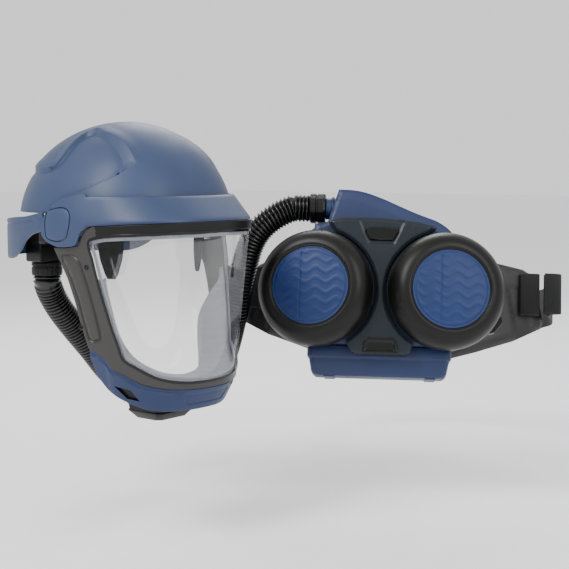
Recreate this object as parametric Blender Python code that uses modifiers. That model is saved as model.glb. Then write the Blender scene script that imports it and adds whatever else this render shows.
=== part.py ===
"""Powered respirator helmet with its breathing hose, fan unit and waist belt.

Metres, +Z up. The helmet faces -Y and the wearer's right hand is at -X. The origin is the middle
of the head, at the height of the visor's pivots. Angles "around" run in degrees from the front,
-Y, towards the wearer's right; "left" pieces are their mirror images.
"""
import math

import bmesh
import bpy
from mathutils import Matrix, Vector
from mathutils.geometry import delaunay_2d_cdt

MM = 0.001
GAP = 0.4 * MM                     # clearance between pieces that touch

# Helmet shell
SHELL_HALF_WIDTH = 104 * MM
SHELL_FRONT = 108 * MM             # from the origin forward
SHELL_REAR = 122 * MM              # from the origin backward
SHELL_HEIGHT = 108 * MM
PLAN_POWER = 2.35                  # squareness of every helmet outline seen from above
SHELL_WALL = 2.8 * MM
CREST_RISE = 2.4 * MM              # crest and forehead stand this far above the side panels
RIM_FRONT = 4 * MM                 # height of the rim behind the brow band
RIM_SIDE = -9 * MM                 # height of the rim at the visor pivots
RIM_REAR = 13 * MM

# Brow band, which carries the visor and turns on the pivots
BAND_TOP = 31 * MM
BAND_WALL = 3.0 * MM
BAND_TOP_FRONT_GAP = 3.4 * MM      # behind the band's top edge, at the forehead
BRIM_FRONT = 138.5 * MM
BRIM_OVERHANG = 3.0 * MM           # the brim beyond the shell's side
BRIM_SIDE = -3.0 * MM              # height of the lower edge at the sides
BRIM_ARCH = 9.2 * MM               # how much higher the lower edge is at the front
LOBE_PROUD = 5.6 * MM              # outer face of the pivot lobes beyond the shell
PIVOT_FORWARD = 4 * MM
PIVOT_UP = 2 * MM
PIVOT_RADIUS = 6 * MM
CAP_CROWN = 0.6 * MM

# Visor frame, pane and chin guard
FRAME_WALL = 3.0 * MM
FRAME_INSET = 0.8 * MM             # frame face behind the brim's edge at the front
STRIP_HEIGHT = 10.3 * MM           # frame above the window
VISOR_DROP = 168 * MM              # pivots to the frame's lower edge at the front
VISOR_SIDE_TAPER = 13 * MM         # half width lost over that drop
VISOR_FRONT_TAPER = 18 * MM
PANE_WALL = 1.6 * MM
PANE_INSET = 1.2 * MM
CHIN_WALL = 3.0 * MM
CHIN_TUCK = 0.9008                 # how far the guard's lower edge pulls in at its full height
SEAL_WALL = 1.6 * MM
TRAY_WALL = 2.4 * MM
VALVE_DROP = 19 * MM
TRAY_TURNS = (33.1, 20.0, 8.0, 0.0)   # degrees round, from the tray's corner to the front

# Rear band, head harness and air duct
REAR_BAND_REACH = 150 * MM
REAR_BAND_WALL = 3.2 * MM
REAR_BAND_DROP = 38 * MM
REAR_BAND_RISE = 14 * MM
HEADBAND_HALF_WIDTH = 80 * MM
HEADBAND_FRONT = 90 * MM
HEADBAND_REAR = min(108 * MM, REAR_BAND_REACH - 42 * MM)
HEADBAND_HEIGHT = 28 * MM
HEADBAND_WALL = 2.4 * MM
HEADBAND_FRONT_LEVEL = 22 * MM
HEADBAND_REAR_LEVEL = -12 * MM
STRAP_WIDTH = 16 * MM
STRAP_WALL = 1.4 * MM
CROWN_SPACE = 12 * MM              # between shell and crown straps
FLAP_WIDTH = 34 * MM
FLAP_DROP = 68 * MM
DUCT_HALF_WIDTH = 22 * MM
DUCT_DEPTH = 26 * MM
DUCT_TOP = -4 * MM
DUCT_BOTTOM = -47.5 * MM
COLLAR_RADIUS = 17.5 * MM
COLLAR_LENGTH = 15.5 * MM

# Breathing hose
HOSE_RADIUS = 16 * MM

# Fan unit, in its own frame: x to its right hand as seen, y away from the viewer, z up
FAN_PLACE = (190.2 * MM, -196.4 * MM, -69.5 * MM)
FAN_YAW = -55.4
FAN_LEAN = -14.0
FAN_ROLL = 1.1
FILTER_RADIUS = 66 * MM
FILTER_SPREAD = 78 * MM            # centre of each filter's front from the middle
FILTER_HEIGHT = 38.5 * MM
FILTER_SPLAY = 12.0
FILTER_LEVEL = -1.5 * MM
DISC_RADIUS = 43.5 * MM
DISC_WALL = 3.4 * MM
SOCKET_RADIUS = 61 * MM
BODY_FRONT = 42 * MM                # battery's front too
BODY_BACK = 105 * MM
PANEL_FRONT = 22 * MM
PANEL_TOP = 80 * MM
PANEL_FOOT = 74 * MM
BUTTON_TRAVEL = 1.5 * MM
BUTTON_PROUD = 2.2 * MM
BUTTON_DEPTH = 6 * MM
LATCH_WALL = 3 * MM
LATCH_WIDTH = 39 * MM
LATCH_HEIGHT = 17 * MM
LATCH_MIDDLE = 1 * MM
BATTERY_TOP = -63.2 * MM
BATTERY_HEIGHT = 33.6 * MM
BATTERY_HALF_WIDTH = 81 * MM
BATTERY_BACK = 96 * MM
BATTERY_LEDGE = 5 * MM
WING_HEIGHT = 117 * MM
OUTLET_RADIUS = 12.5 * MM
OUTLET_LENGTH = 14.5 * MM
OUTLET_LEVEL = 97 * MM
OUTLET_DEPTH = 60 * MM
OUTLET_SIDE = -51 * MM
CONNECTOR_RADIUS = 17.5 * MM
CONNECTOR_LENGTH = 18 * MM

# Waist belt
BELT_MIDDLE = 12 * MM
PAD_HALF_WIDTH = 183 * MM
PAD_WALL = 9 * MM
PAD_BOW = 48 * MM
PAD_RISE = 55 * MM
PAD_DROP = 68 * MM
WEB_WIDTH = 50 * MM
WEB_WALL = 2.4 * MM
WEB_LEVEL = 14 * MM
LOOP_HALF_WIDTH = 204 * MM
LOOP_DEPTH = 262 * MM
BUCKLE_LENGTH = 62 * MM
BUCKLE_HEIGHT = 58 * MM
BUCKLE_WALL = 16 * MM

# Edge of the raised crest and the foot of its step, right half, from the rim at the pivot over the
# side to the back: degrees around, degrees down from the top
CREST_EDGE = (
    ("around", "down"),
    (99.5, 84.5), (91.0, 77.0), (81.0, 73.6), (71.0, 70.6), (61.0, 65.9), (51.5, 61.6), (40.0, 54.8),
    (40.6, 50.5), (44.8, 42.3), (55.8, 32.8), (73.0, 27.6), (92.0, 23.0), (101.0, 27.0),
    (103.0, 34.0), (101.5, 44.0), (102.0, 52.5), (106.0, 56.2), (122.0, 57.0), (150.0, 57.6),
)
CREST_FOOT = (
    ("around", "down"),
    (101.5, 85.5), (92.5, 78.8), (82.5, 75.4), (72.2, 72.4), (62.4, 67.6), (52.8, 63.4), (47.4, 56.6),
    (48.6, 49.5), (54.6, 41.4), (68.0, 33.4), (81.0, 30.2), (94.0, 28.0), (104.0, 32.6),
    (106.6, 40.0), (106.0, 47.0), (107.0, 55.0), (111.0, 58.8), (124.0, 59.8), (150.0, 60.4),
)
# Lobe around the pivot, from the band's top edge round the back to the brim: degrees around,
# height as a share of the band's top height
LOBE_EDGE = (
    ("around", "height"),
    (66.8, 0.98), (68.8, 1.09), (73.0, 1.04), (78.0, 0.97), (83.5, 0.87), (88.0, 0.74), (92.0, 0.56),
    (95.2, 0.36), (97.4, 0.12), (98.2, -0.12), (97.4, -0.32), (94.4, -0.47), (90.4, -0.57),
    (85.0, -0.65), (80.0, -0.65), (74.6, -0.61), (72.2, -0.54), (70.8, -0.36), (69.0, -0.14),
)
# Cap over the pivot, same columns
CAP_EDGE = (
    ("around", "height"),
    (94.0, -0.28), (92.4, -0.39), (87.0, -0.46), (82.0, -0.43), (78.6, -0.32), (77.3, -0.12),
    (76.2, 0.16), (76.4, 0.40), (78.4, 0.55), (82.0, 0.61), (87.0, 0.58), (91.4, 0.52),
    (93.6, 0.42), (94.6, 0.10),
)
# Frame below the lobe, down its rear edge and along its lower edge to the front: degrees around,
# drop as a share of VISOR_DROP
FRAME_REAR = (
    ("around", "drop"),
    (70.0, 0.066), (72.0, 0.110), (81.5, 0.126), (90.3, 0.128), (85.4, 0.214), (80.6, 0.310),
    (76.3, 0.440), (73.4, 0.556), (70.4, 0.660), (68.4, 0.724),
)
CHIN_LINE = (
    ("around", "drop"),
    (68.4, 0.724), (63.0, 0.750), (58.2, 0.784), (56.4, 0.820), (53.6, 0.848), (47.0, 0.881),
    (39.3, 0.928), (32.0, 0.952), (24.8, 0.968), (16.0, 0.976), (8.0, 0.980), (0.0, 0.981),
)
WINDOW_EDGE = (
    ("around", "drop"),
    (60.5, 0.058), (64.2, 0.072), (65.4, 0.100), (64.8, 0.140), (63.6, 0.180), (61.8, 0.270),
    (59.6, 0.370), (56.6, 0.490), (53.5, 0.607), (50.6, 0.700), (49.2, 0.760), (46.8, 0.798),
    (40.3, 0.842), (32.1, 0.894), (23.9, 0.922), (15.3, 0.936), (8.0, 0.941), (0.0, 0.943),
)
CHIN_FOOT = (
    ("around", "drop"),
    (68.6, 0.800), (66.0, 0.890), (61.4, 0.961), (53.7, 1.020), (44.6, 1.064), (33.1, 1.104),
    (20.0, 1.118), (8.0, 1.121), (0.0, 1.121),
)
CHIN_VENT = (
    ("around", "drop"),
    (53.6, 0.956), (44.2, 0.975), (39.2, 1.046), (46.2, 1.032),
)
# Rear band, from the pivots to the back: degrees around, height as a share of its rise or drop
REAR_BAND_TOP = (
    ("around", "rise"),
    (101.0, 1.00), (108.0, 0.84), (118.0, 0.63), (129.0, 0.47), (148.0, 0.32), (165.0, 0.29), (180.0, 0.29),
)
REAR_BAND_FOOT = (
    ("around", "drop"),
    (101.0, 0.14), (107.0, 0.20), (112.4, 0.27), (118.8, 0.45), (123.5, 0.68), (127.4, 0.81),
    (133.2, 0.94), (140.0, 1.00), (160.0, 1.00), (180.0, 1.00),
)
# Inner edge of the face seal: degrees around and drop on the frame, then the seal's inner lip as
# shares of the shell's half width and front, and its drop
SEAL_ROWS = (
    ("around", "drop", "lip_side", "lip_front", "lip_drop"),
    (63.0, 0.30, 0.820, 0.500, 0.30), (60.5, 0.37, 0.800, 0.500, 0.38), (58.0, 0.45, 0.700, 0.440, 0.48),
    (55.0, 0.56, 0.600, 0.400, 0.60), (51.5, 0.68, 0.540, 0.430, 0.71), (47.5, 0.79, 0.470, 0.500, 0.80),
    (41.0, 0.86, 0.380, 0.590, 0.86), (32.5, 0.92, 0.270, 0.680, 0.90), (20.0, 0.965, 0.150, 0.730, 0.92),
    (0.0, 0.985, 0.0, 0.740, 0.93),
)
# Route of the breathing hose between its two ends, in millimetres
HOSE_ROUTE = (
    (1, 136, -72), (9, 138.5, -86), (23, 140, -105), (44, 141, -128), (72, 140, -158),
    (97, 137, -187), (128, 132, -210), (160, 123, -221), (186, 103, -221), (194, 70, -207),
    (187, 33, -171), (176, 4, -114), (170, -15, -61), (172, -29, -24), (182, -46, -2),
)
# Fan body seen from the front, from the outlet over the wing to the right: share of FILTER_SPREAD
# across, share of WING_HEIGHT up
WING_EDGE = (
    ("across", "up"),
    (-0.65, 1.000), (-0.45, 0.996), (-0.26, 0.975), (0.0, 0.915), (0.20, 0.858), (0.42, 0.795),
    (0.60, 0.749), (0.80, 0.700), (0.96, 0.630), (1.05, 0.560),
)
# Belt pad, right half from the top middle to the foot: share of its half width, share of its rise
# or drop
PAD_EDGE = (
    ("across", "up"),
    (0.0, 1.0), (0.35, 1.0), (0.68, 0.91), (0.86, 0.82), (0.92, 0.72), (0.955, 0.45),
    (1.0, -0.25), (0.985, -0.36), (0.80, -0.62), (0.55, -0.86), (0.38, -1.0), (0.0, -1.0),
)


def rows_of(table):
    """The rows of a table below its column names."""
    return table[1:]


def clear_scene():
    for obj in list(bpy.data.objects):
        bpy.data.objects.remove(obj, do_unlink=True)


def new_collection(name):
    collection = bpy.data.collections.new(name)
    bpy.context.scene.collection.children.link(collection)
    return collection


def new_material(name, colour, roughness, metallic=0.0, transmission=0.0):
    material = bpy.data.materials.new(name)
    material.use_nodes = True
    shader = material.node_tree.nodes["Principled BSDF"]
    shader.inputs["Base Color"].default_value = (*colour, 1.0)
    shader.inputs["Roughness"].default_value = roughness
    shader.inputs["Metallic"].default_value = metallic
    shader.inputs["Transmission Weight"].default_value = transmission
    return material


def add_object(name, mesh, material, parent=None):
    obj = bpy.data.objects.new(name, mesh)
    if not mesh.materials:
        mesh.materials.append(material)
    PARTS.objects.link(obj)
    obj.parent = parent
    return obj


def mesh_from(name, points, faces):
    """A mesh with its faces turned outward and smooth where it is round."""
    shape = bmesh.new()
    corners = [shape.verts.new(point) for point in points]
    for face in faces:
        shape.faces.new([corners[index] for index in face])
    bmesh.ops.recalc_face_normals(shape, faces=shape.faces)
    mesh = bpy.data.meshes.new(name)
    shape.to_mesh(mesh)
    shape.free()
    mesh.shade_smooth()
    mesh.set_sharp_from_angle(angle=math.radians(35))
    return mesh


def plan(around, half_width, front, rear, power=PLAN_POWER):
    """Point of a helmet outline seen from above, at an angle in degrees from the front."""
    side = math.sin(math.radians(around))
    ahead = math.cos(math.radians(around))
    length = front if ahead >= 0 else rear
    reach = (abs(side / half_width) ** power + abs(ahead / length) ** power) ** (-1 / power)
    return Vector((-reach * side, -reach * ahead))


def between(table, around):
    """Second column of a table at an angle, along straight lines between its rows."""
    rows = sorted(rows_of(table))
    angle = min(max(abs(around), rows[0][0]), rows[-1][0])
    for low, high in zip(rows, rows[1:]):
        if low[0] <= angle <= high[0]:
            share = (angle - low[0]) / max(high[0] - low[0], 1e-9)
            return low[1] + share * (high[1] - low[1])
    return rows[-1][1]


def smooth_step(low, high, value):
    share = min(max((value - low) / (high - low), 0.0), 1.0)
    return share * share * (3 - 2 * share)


def brim_height(around):
    return BRIM_SIDE + BRIM_ARCH * math.cos(math.radians(around))


def shell_point(flat, depth):
    """Point of the shell; flat is a disc whose radius is the angle down from the top."""
    down = flat.length
    around = math.degrees(math.atan2(flat.x, flat.y))
    shrink = math.sin(math.radians(min(down, 90.0)))
    height = SHELL_HEIGHT - depth
    outline = plan(around, SHELL_HALF_WIDTH - depth, SHELL_FRONT - depth, SHELL_REAR - depth)
    rise = height * math.cos(math.radians(down)) if down <= 90 else -SHELL_HEIGHT * math.radians(down - 90)
    return Vector((*(outline * shrink), rise))


def shell_half_width(height):
    level = min(max(height, 0.0), SHELL_HEIGHT) / SHELL_HEIGHT
    return SHELL_HALF_WIDTH * math.sqrt(1 - level * level)


def down_angle(height):
    """Angle down from the shell's top at which its surface has a height."""
    if height < 0:
        return 90 - math.degrees(height / SHELL_HEIGHT)
    return math.degrees(math.acos(height / SHELL_HEIGHT))


def band_point(around, height, depth):
    """Point of the brow band and its pivot lobes."""
    low = brim_height(around)
    share = min(max((BAND_TOP - height) / (BAND_TOP - low), 0.0), 1.0)
    top_level = math.sqrt(1 - (BAND_TOP / SHELL_HEIGHT) ** 2)
    top_side = SHELL_HALF_WIDTH * top_level + GAP + BAND_WALL
    top_front = SHELL_FRONT * top_level + BAND_TOP_FRONT_GAP + BAND_WALL
    side = top_side + share * (SHELL_HALF_WIDTH + BRIM_OVERHANG - top_side)
    front = top_front + share * (BRIM_FRONT - top_front)
    lobe = smooth_step(58, 76, abs(around))
    side += lobe * (shell_half_width(height) + LOBE_PROUD - side)
    return Vector((*plan(around, side - depth, front - depth, SHELL_REAR - depth), height))


def visor_point(around, height, depth):
    """Point of the visor's tapering wall."""
    share = (brim_height(around) - height) / VISOR_DROP
    side = SHELL_HALF_WIDTH + BRIM_OVERHANG - FRAME_INSET - max(share, 0.0) ** 1.3 * VISOR_SIDE_TAPER
    front = BRIM_FRONT - FRAME_INSET - share * VISOR_FRONT_TAPER
    rear = SHELL_REAR - share * VISOR_SIDE_TAPER
    return Vector((*plan(around, side - depth, front - depth, rear - depth), height))


def chin_point(around, height, depth):
    """Point of the chin guard, which carries the visor's wall on and pulls in below it."""
    top = -between(CHIN_LINE, around) * VISOR_DROP
    full = (rows_of(CHIN_FOOT)[-1][1] - rows_of(CHIN_LINE)[-1][1]) * VISOR_DROP
    shrink = 1 - (1 - CHIN_TUCK) * max(0.0, top - height) / full
    start = visor_point(around, top, depth)
    return Vector((start.x * shrink, start.y * shrink, height))


def rear_band_point(around, height, depth):
    side = SHELL_HALF_WIDTH + 0.5 * GAP
    reach = plan(around, side - depth, SHELL_FRONT, REAR_BAND_REACH - depth, 2.2)
    return Vector((*reach, height))


def inside(polygon, point):
    """True where a point lies in a closed outline."""
    hit = False
    for first, second in zip(polygon, polygon[1:] + polygon[:1]):
        if (first[1] > point[1]) != (second[1] > point[1]):
            cross = first[0] + (point[1] - first[1]) / (second[1] - first[1]) * (second[0] - first[0])
            if point[0] < cross:
                hit = not hit
    return hit


def distance_to(lines, point):
    """Shortest distance from a point to a set of line pieces."""
    best = math.inf
    for first, second in lines:
        along = second - first
        share = min(max((point - first).dot(along) / max(along.length_squared, 1e-12), 0.0), 1.0)
        best = min(best, (first + along * share - point).length)
    return best


def subdivide(points, spacing, closed=True):
    """Line points no further apart than a spacing."""
    result = []
    ends = points[1:] + points[:1] if closed else points[1:]
    for first, second in zip(points, ends):
        count = max(1, math.ceil((second - first).length / spacing))
        result += [first.lerp(second, step / count) for step in range(count)]
    if not closed:
        result.append(points[-1])
    return result


def wall(name, outline, place, outer, inner, material, spacing=8.0, squeeze=1.0, holes=(), lines=(),
         parent=None):
    """A curved wall over a flat outline: place() bends each flat point to a surface at a depth.

    outer is a depth or a function of the flat point; inner is a depth. squeeze is how much of the
    flat second coordinate makes one unit of the first.
    """
    def flat(point):
        return Vector((point[0], point[1] / squeeze))

    def bent(point, depth):
        return place(point.x, point.y * squeeze, depth)

    loops = [subdivide([flat(point) for point in loop], spacing) for loop in (outline, *holes)]
    inner_lines = [subdivide([flat(point) for point in line], spacing, closed=False) for line in lines]
    corners, edges, pieces = [], [], []
    for loop in loops:
        start = len(corners)
        corners += loop
        edges += [(start + step, start + (step + 1) % len(loop)) for step in range(len(loop))]
        pieces += list(zip(loop, loop[1:] + loop[:1]))
    for line in inner_lines:
        start = len(corners)
        corners += line
        edges += [(start + step, start + step + 1) for step in range(len(line) - 1)]
        pieces += list(zip(line, line[1:]))
    border = [tuple(point) for point in loops[0]]
    gaps = [[tuple(point) for point in loop] for loop in loops[1:]]
    low_x, high_x = min(p[0] for p in border), max(p[0] for p in border)
    low_y, high_y = min(p[1] for p in border), max(p[1] for p in border)
    rows = max(1, round((high_y - low_y) / (spacing * 0.866)))
    columns = max(1, round((high_x - low_x) / spacing))
    for row in range(1, rows):
        for column in range(columns + 1):
            point = Vector((low_x + (column + 0.5 * (row % 2)) * (high_x - low_x) / columns,
                            low_y + row * (high_y - low_y) / rows))
            if inside(border, point) and not any(inside(gap, point) for gap in gaps):
                if distance_to(pieces, point) > 0.45 * spacing:
                    corners.append(point)
    flat_points, _, triangles, *_ = delaunay_2d_cdt(corners, edges, [], 0, 1e-6)
    kept = []
    for triangle in triangles:
        middle = sum((flat_points[index] for index in triangle), Vector((0, 0))) / 3
        if inside(border, middle) and not any(inside(gap, middle) for gap in gaps):
            kept.append(tuple(triangle))
    used = sorted({index for triangle in kept for index in triangle})
    rank = {index: order for order, index in enumerate(used)}
    kept = [tuple(rank[index] for index in triangle) for triangle in kept]
    count = len(used)
    outside = [bent(flat_points[index], outer(flat_points[index]) if callable(outer) else outer)
               for index in used]
    within = [bent(flat_points[index], inner) for index in used]
    faces = list(kept) + [tuple(index + count for index in reversed(triangle)) for triangle in kept]
    seen = {}
    for triangle in kept:
        for first, second in zip(triangle, triangle[1:] + triangle[:1]):
            seen[(first, second)] = True
    for first, second in seen:
        if (second, first) not in seen:
            faces.append((second, first, first + count, second + count))
    return add_object(name, mesh_from(name, outside + within, faces), material, parent)


def loft(name, rings, material, closed=False, parent=None):
    """A solid through rings of as many points each, capped or joined end to end."""
    size = len(rings[0])
    points = [point for ring in rings for point in ring]
    faces = []
    last = len(rings) if closed else len(rings) - 1
    for step in range(last):
        here, there = step * size, (step + 1) % len(rings) * size
        for index in range(size):
            after = (index + 1) % size
            faces.append((here + index, here + after, there + after, there + index))
    if not closed:
        faces.append(tuple(range(size)))
        faces.append(tuple(len(points) - size + index for index in range(size)))
    return add_object(name, mesh_from(name, points, faces), material, parent)


def ribbon(name, centres, sides, width, thickness, material, parent=None):
    """A flat strap along a line; each side vector points across its width."""
    rings = []
    for index, (centre, side) in enumerate(zip(centres, sides)):
        ahead = centres[min(index + 1, len(centres) - 1)] - centres[max(index - 1, 0)]
        across = side.normalized() * width / 2
        out = ahead.cross(side).normalized() * thickness / 2
        rings.append([centre + across + out, centre - across + out,
                      centre - across - out, centre + across - out])
    return loft(name, rings, material, parent=parent)


def turned(name, profile, material, parent=None, steps=40):
    """A solid turned about local Z from (radius, height) points, top to bottom."""
    mesh = bpy.data.meshes.new(name)
    points = [(radius, 0.0, height) for radius, height in profile]
    mesh.from_pydata(points, [(index, index + 1) for index in range(len(points) - 1)], [])
    obj = add_object(name, mesh, material, parent)
    screw = obj.modifiers.new("turn", "SCREW")
    screw.steps = steps
    screw.render_steps = steps
    screw.use_merge_vertices = True
    screw.merge_threshold = 0.05 * MM
    return obj


def plate(name, outline, front, back, material, rounding=0.0, parent=None):
    """A flat outline in the XZ plane made thick along Y, from front to back."""
    curve = bpy.data.curves.new(name, "CURVE")
    curve.dimensions = "2D"
    curve.fill_mode = "BOTH"
    curve.extrude = (back - front) / 2
    spline = curve.splines.new("POLY")
    spline.points.add(len(outline) - 1)
    for point, (across, up) in zip(spline.points, outline):
        point.co = (across, up, 0.0, 1.0)
    spline.use_cyclic_u = True
    source = bpy.data.objects.new(name, curve)
    PARTS.objects.link(source)
    mesh = bpy.data.meshes.new_from_object(source.evaluated_get(bpy.context.evaluated_depsgraph_get()))
    bpy.data.objects.remove(source)
    bpy.data.curves.remove(curve)
    shape = bmesh.new()
    shape.from_mesh(mesh)
    bmesh.ops.remove_doubles(shape, verts=shape.verts, dist=0.01 * MM)
    turn = Matrix.Translation((0, (front + back) / 2, 0)) @ Matrix.Rotation(math.pi / 2, 4, "X")
    shape.transform(turn)
    bmesh.ops.recalc_face_normals(shape, faces=shape.faces)
    shape.to_mesh(mesh)
    shape.free()
    mesh.name = name
    mesh.materials.clear()
    obj = add_object(name, mesh, material, parent)
    if rounding:
        bevel = obj.modifiers.new("edge", "BEVEL")
        bevel.width = rounding
        bevel.segments = 2
        bevel.limit_method = "ANGLE"
        bevel.angle_limit = math.radians(50)
    return obj


def hide_as_cutter(obj):
    obj.hide_render = True
    obj.display_type = "WIRE"
    PARTS.objects.unlink(obj)
    CUTTERS.objects.link(obj)
    return obj


def combine(target, tool, operation):
    boolean = target.modifiers.new(operation.lower(), "BOOLEAN")
    boolean.operation = operation
    boolean.solver = "EXACT"
    boolean.object = tool


def circle_arc(centre, radius, start, end, step=9.0):
    """Points of an arc in degrees, from start to end."""
    count = max(2, math.ceil(abs(end - start) / step))
    angles = [math.radians(start + (end - start) * index / count) for index in range(count + 1)]
    return [(centre[0] + radius * math.cos(a), centre[1] + radius * math.sin(a)) for a in angles]


def both_sides(right):
    """A closed outline from its right half, whose ends lie at the front."""
    left = [(-around, height) for around, height in reversed(right)]
    joined = list(right)
    for point in left:
        if abs(point[0] - joined[-1][0]) + abs(point[1] - joined[-1][1]) > 1e-9:
            joined.append(point)
    if abs(joined[0][0] - joined[-1][0]) + abs(joined[0][1] - joined[-1][1]) < 1e-9:
        joined.pop()
    return joined


def mirrored(outline):
    return [(-around, height) for around, height in reversed(outline)]


def smooth_line(rows, per_row=3):
    """Points of a smooth curve through the rows of a table."""
    points = [Vector(row) for row in rows]
    padded = [2 * points[0] - points[1]] + points + [2 * points[-1] - points[-2]]
    result = []
    for before, here, there, after in zip(padded, padded[1:], padded[2:], padded[3:]):
        for step in range(per_row):
            t = step / per_row
            result.append(0.5 * (2 * here + (there - before) * t
                                 + (2 * before - 5 * here + 4 * there - after) * t * t
                                 + (3 * here - before - 3 * there + after) * t ** 3))
    result.append(points[-1])
    return result


def make_shell():
    def polar(row):
        around, down = math.radians(row[0]), row[1]
        return (down * math.sin(around), down * math.cos(around))

    def rim(around):
        turn = abs(around)
        height = RIM_FRONT + (RIM_SIDE - RIM_FRONT) * smooth_step(65, 72, turn)
        return height + (RIM_REAR - RIM_SIDE) * (1.0 if turn > 100.6 else 0.0)

    def step_line(table):
        right = [polar(row) for row in rows_of(table)]
        return right + [(-x, y) for x, y in reversed(right)]

    edge, foot = step_line(CREST_EDGE), step_line(CREST_FOOT)
    border = [polar((around, down_angle(rim(around)))) for around in range(-96, 97, 8)]
    border += [polar((100.5, down_angle(RIM_SIDE))), polar((100.7, down_angle(RIM_REAR)))]
    border += [polar((around, down_angle(RIM_REAR))) for around in range(108, 253, 8)]
    border += [polar((-100.7, down_angle(RIM_REAR))), polar((-100.5, down_angle(RIM_SIDE)))]
    front_rim = [point for point in border if point[1] > 0]
    raised = edge + sorted(front_rim, key=lambda point: math.atan2(point[0], point[1]))

    def outer_depth(point):
        lines = [(Vector(a), Vector(b)) for a, b in zip(edge, edge[1:])]
        if distance_to(lines, point) < 1e-3 or inside(raised, point):
            return 0.0
        return CREST_RISE

    def place(across, ahead, depth):
        return shell_point(Vector((across, ahead)), depth)

    wall("helmet_shell", border, place, outer_depth, CREST_RISE + SHELL_WALL, BLUE, spacing=8.5,
         lines=(edge, foot))


def band_outline():
    lobe = [(around, height * BAND_TOP) for around, height in rows_of(LOBE_EDGE)]
    top = [(around, BAND_TOP) for around in range(0, 66, 8)]
    brim = [(around, brim_height(around)) for around in range(66, -1, -6)]
    return both_sides(top + lobe + brim)


def cap_outline(grow=1.0):
    rows = [(around, height * BAND_TOP) for around, height in rows_of(CAP_EDGE)]
    middle = (sum(row[0] for row in rows) / len(rows), sum(row[1] for row in rows) / len(rows))
    return [(middle[0] + (a - middle[0]) * grow, middle[1] + (h - middle[1]) * grow) for a, h in rows]


def make_brow_band():
    socket = cap_outline(1.05)
    wall("brow_band", band_outline(), band_point, 0.0, BAND_WALL, BLUE, spacing=7.5, squeeze=2 * MM,
         holes=(socket, mirrored(socket)))
    for side, outline in (("right", cap_outline()), ("left", mirrored(cap_outline()))):
        wall(f"pivot_cap_{side}", outline, band_point, -CAP_CROWN, BAND_WALL, BLUE, squeeze=2 * MM)


def make_pivots():
    """A washer on each side, between the shell and the cap that turns on it."""
    inner = SHELL_HALF_WIDTH + GAP
    outer = SHELL_HALF_WIDTH + LOBE_PROUD - BAND_WALL - 2.5 * GAP
    for side, sign in (("right", -1), ("left", 1)):
        bpy.ops.mesh.primitive_cylinder_add(vertices=24, radius=PIVOT_RADIUS, depth=outer - inner)
        made = bpy.context.object
        mesh = made.data
        bpy.data.objects.remove(made)
        washer = add_object(f"pivot_washer_{side}", mesh, BLACK)
        washer.location = (sign * (inner + outer) / 2, -PIVOT_FORWARD, PIVOT_UP)
        washer.rotation_euler = (0, math.pi / 2, 0)


def window_line():
    top = [(around, brim_height(around) - STRIP_HEIGHT) for around in range(0, 57, 8)]
    return top + [(around, -drop * VISOR_DROP) for around, drop in rows_of(WINDOW_EDGE)]


def make_visor():
    top = [(around, brim_height(around) - GAP) for around in range(0, 66, 6)]
    rear = [(around, -drop * VISOR_DROP) for around, drop in rows_of(FRAME_REAR)]
    foot = [(around, -drop * VISOR_DROP) for around, drop in rows_of(CHIN_LINE)[1:]]
    step = [(66.4, brim_height(66.4) - 3 * MM)]
    window = both_sides(window_line())
    wall("visor_frame", both_sides(top + step + rear + foot), visor_point, 0.0, FRAME_WALL, TAUPE,
         spacing=7.5, squeeze=2 * MM, holes=(window,))
    low = -rows_of(WINDOW_EDGE)[-1][1] * VISOR_DROP
    high = brim_height(0) - STRIP_HEIGHT
    middle = (low + high) / 2
    across = 1 - GAP / (0.5 * SHELL_HALF_WIDTH)
    along = 1 - 2 * GAP / (high - low)
    pane = [(around * across, middle + (height - middle) * along) for around, height in window]
    wall("visor_pane", pane, visor_point, PANE_INSET, PANE_INSET + PANE_WALL, CLEAR,
         spacing=9.0, squeeze=2 * MM)


def make_chin_guard():
    top = [(around, -drop * VISOR_DROP - GAP) for around, drop in reversed(rows_of(CHIN_LINE))]
    foot = [(around, -drop * VISOR_DROP) for around, drop in rows_of(CHIN_FOOT)]
    vent = [(around, -drop * VISOR_DROP) for around, drop in rows_of(CHIN_VENT)]
    wall("chin_guard", both_sides(top + foot), chin_point, 0.0, CHIN_WALL, BLUE_DEEP, spacing=6.5,
         squeeze=2 * MM, holes=(vent, mirrored(vent)))


def make_face_seal():
    outer, middle, lip = [], [], []
    for around, drop, side, front, lip_drop in rows_of(SEAL_ROWS):
        start = visor_point(around, -drop * VISOR_DROP, FRAME_WALL + GAP + 0.25 * SEAL_WALL)
        end = Vector((-side * SHELL_HALF_WIDTH, -front * SHELL_FRONT, -lip_drop * VISOR_DROP))
        outer.append(start)
        middle.append(start.lerp(end, 0.5) + Vector((0, 0, -2 * MM)))
        lip.append(end)

    def whole(row):
        return row + [Vector((-point.x, point.y, point.z)) for point in reversed(row[:-1])]

    rows = [whole(outer), whole(middle), whole(lip)]
    count = len(rows[0])
    points = [point for row in rows for point in row]
    faces = [(row * count + step, row * count + step + 1, (row + 1) * count + step + 1,
              (row + 1) * count + step) for row in range(2) for step in range(count - 1)]
    mesh = bpy.data.meshes.new("face_seal")
    mesh.from_pydata(points, [], faces)
    mesh.shade_smooth()
    seal = add_object("face_seal", mesh, SEAL_GREY)
    solidify = seal.modifiers.new("wall", "SOLIDIFY")
    solidify.thickness = SEAL_WALL
    solidify.offset = 0.0


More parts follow.
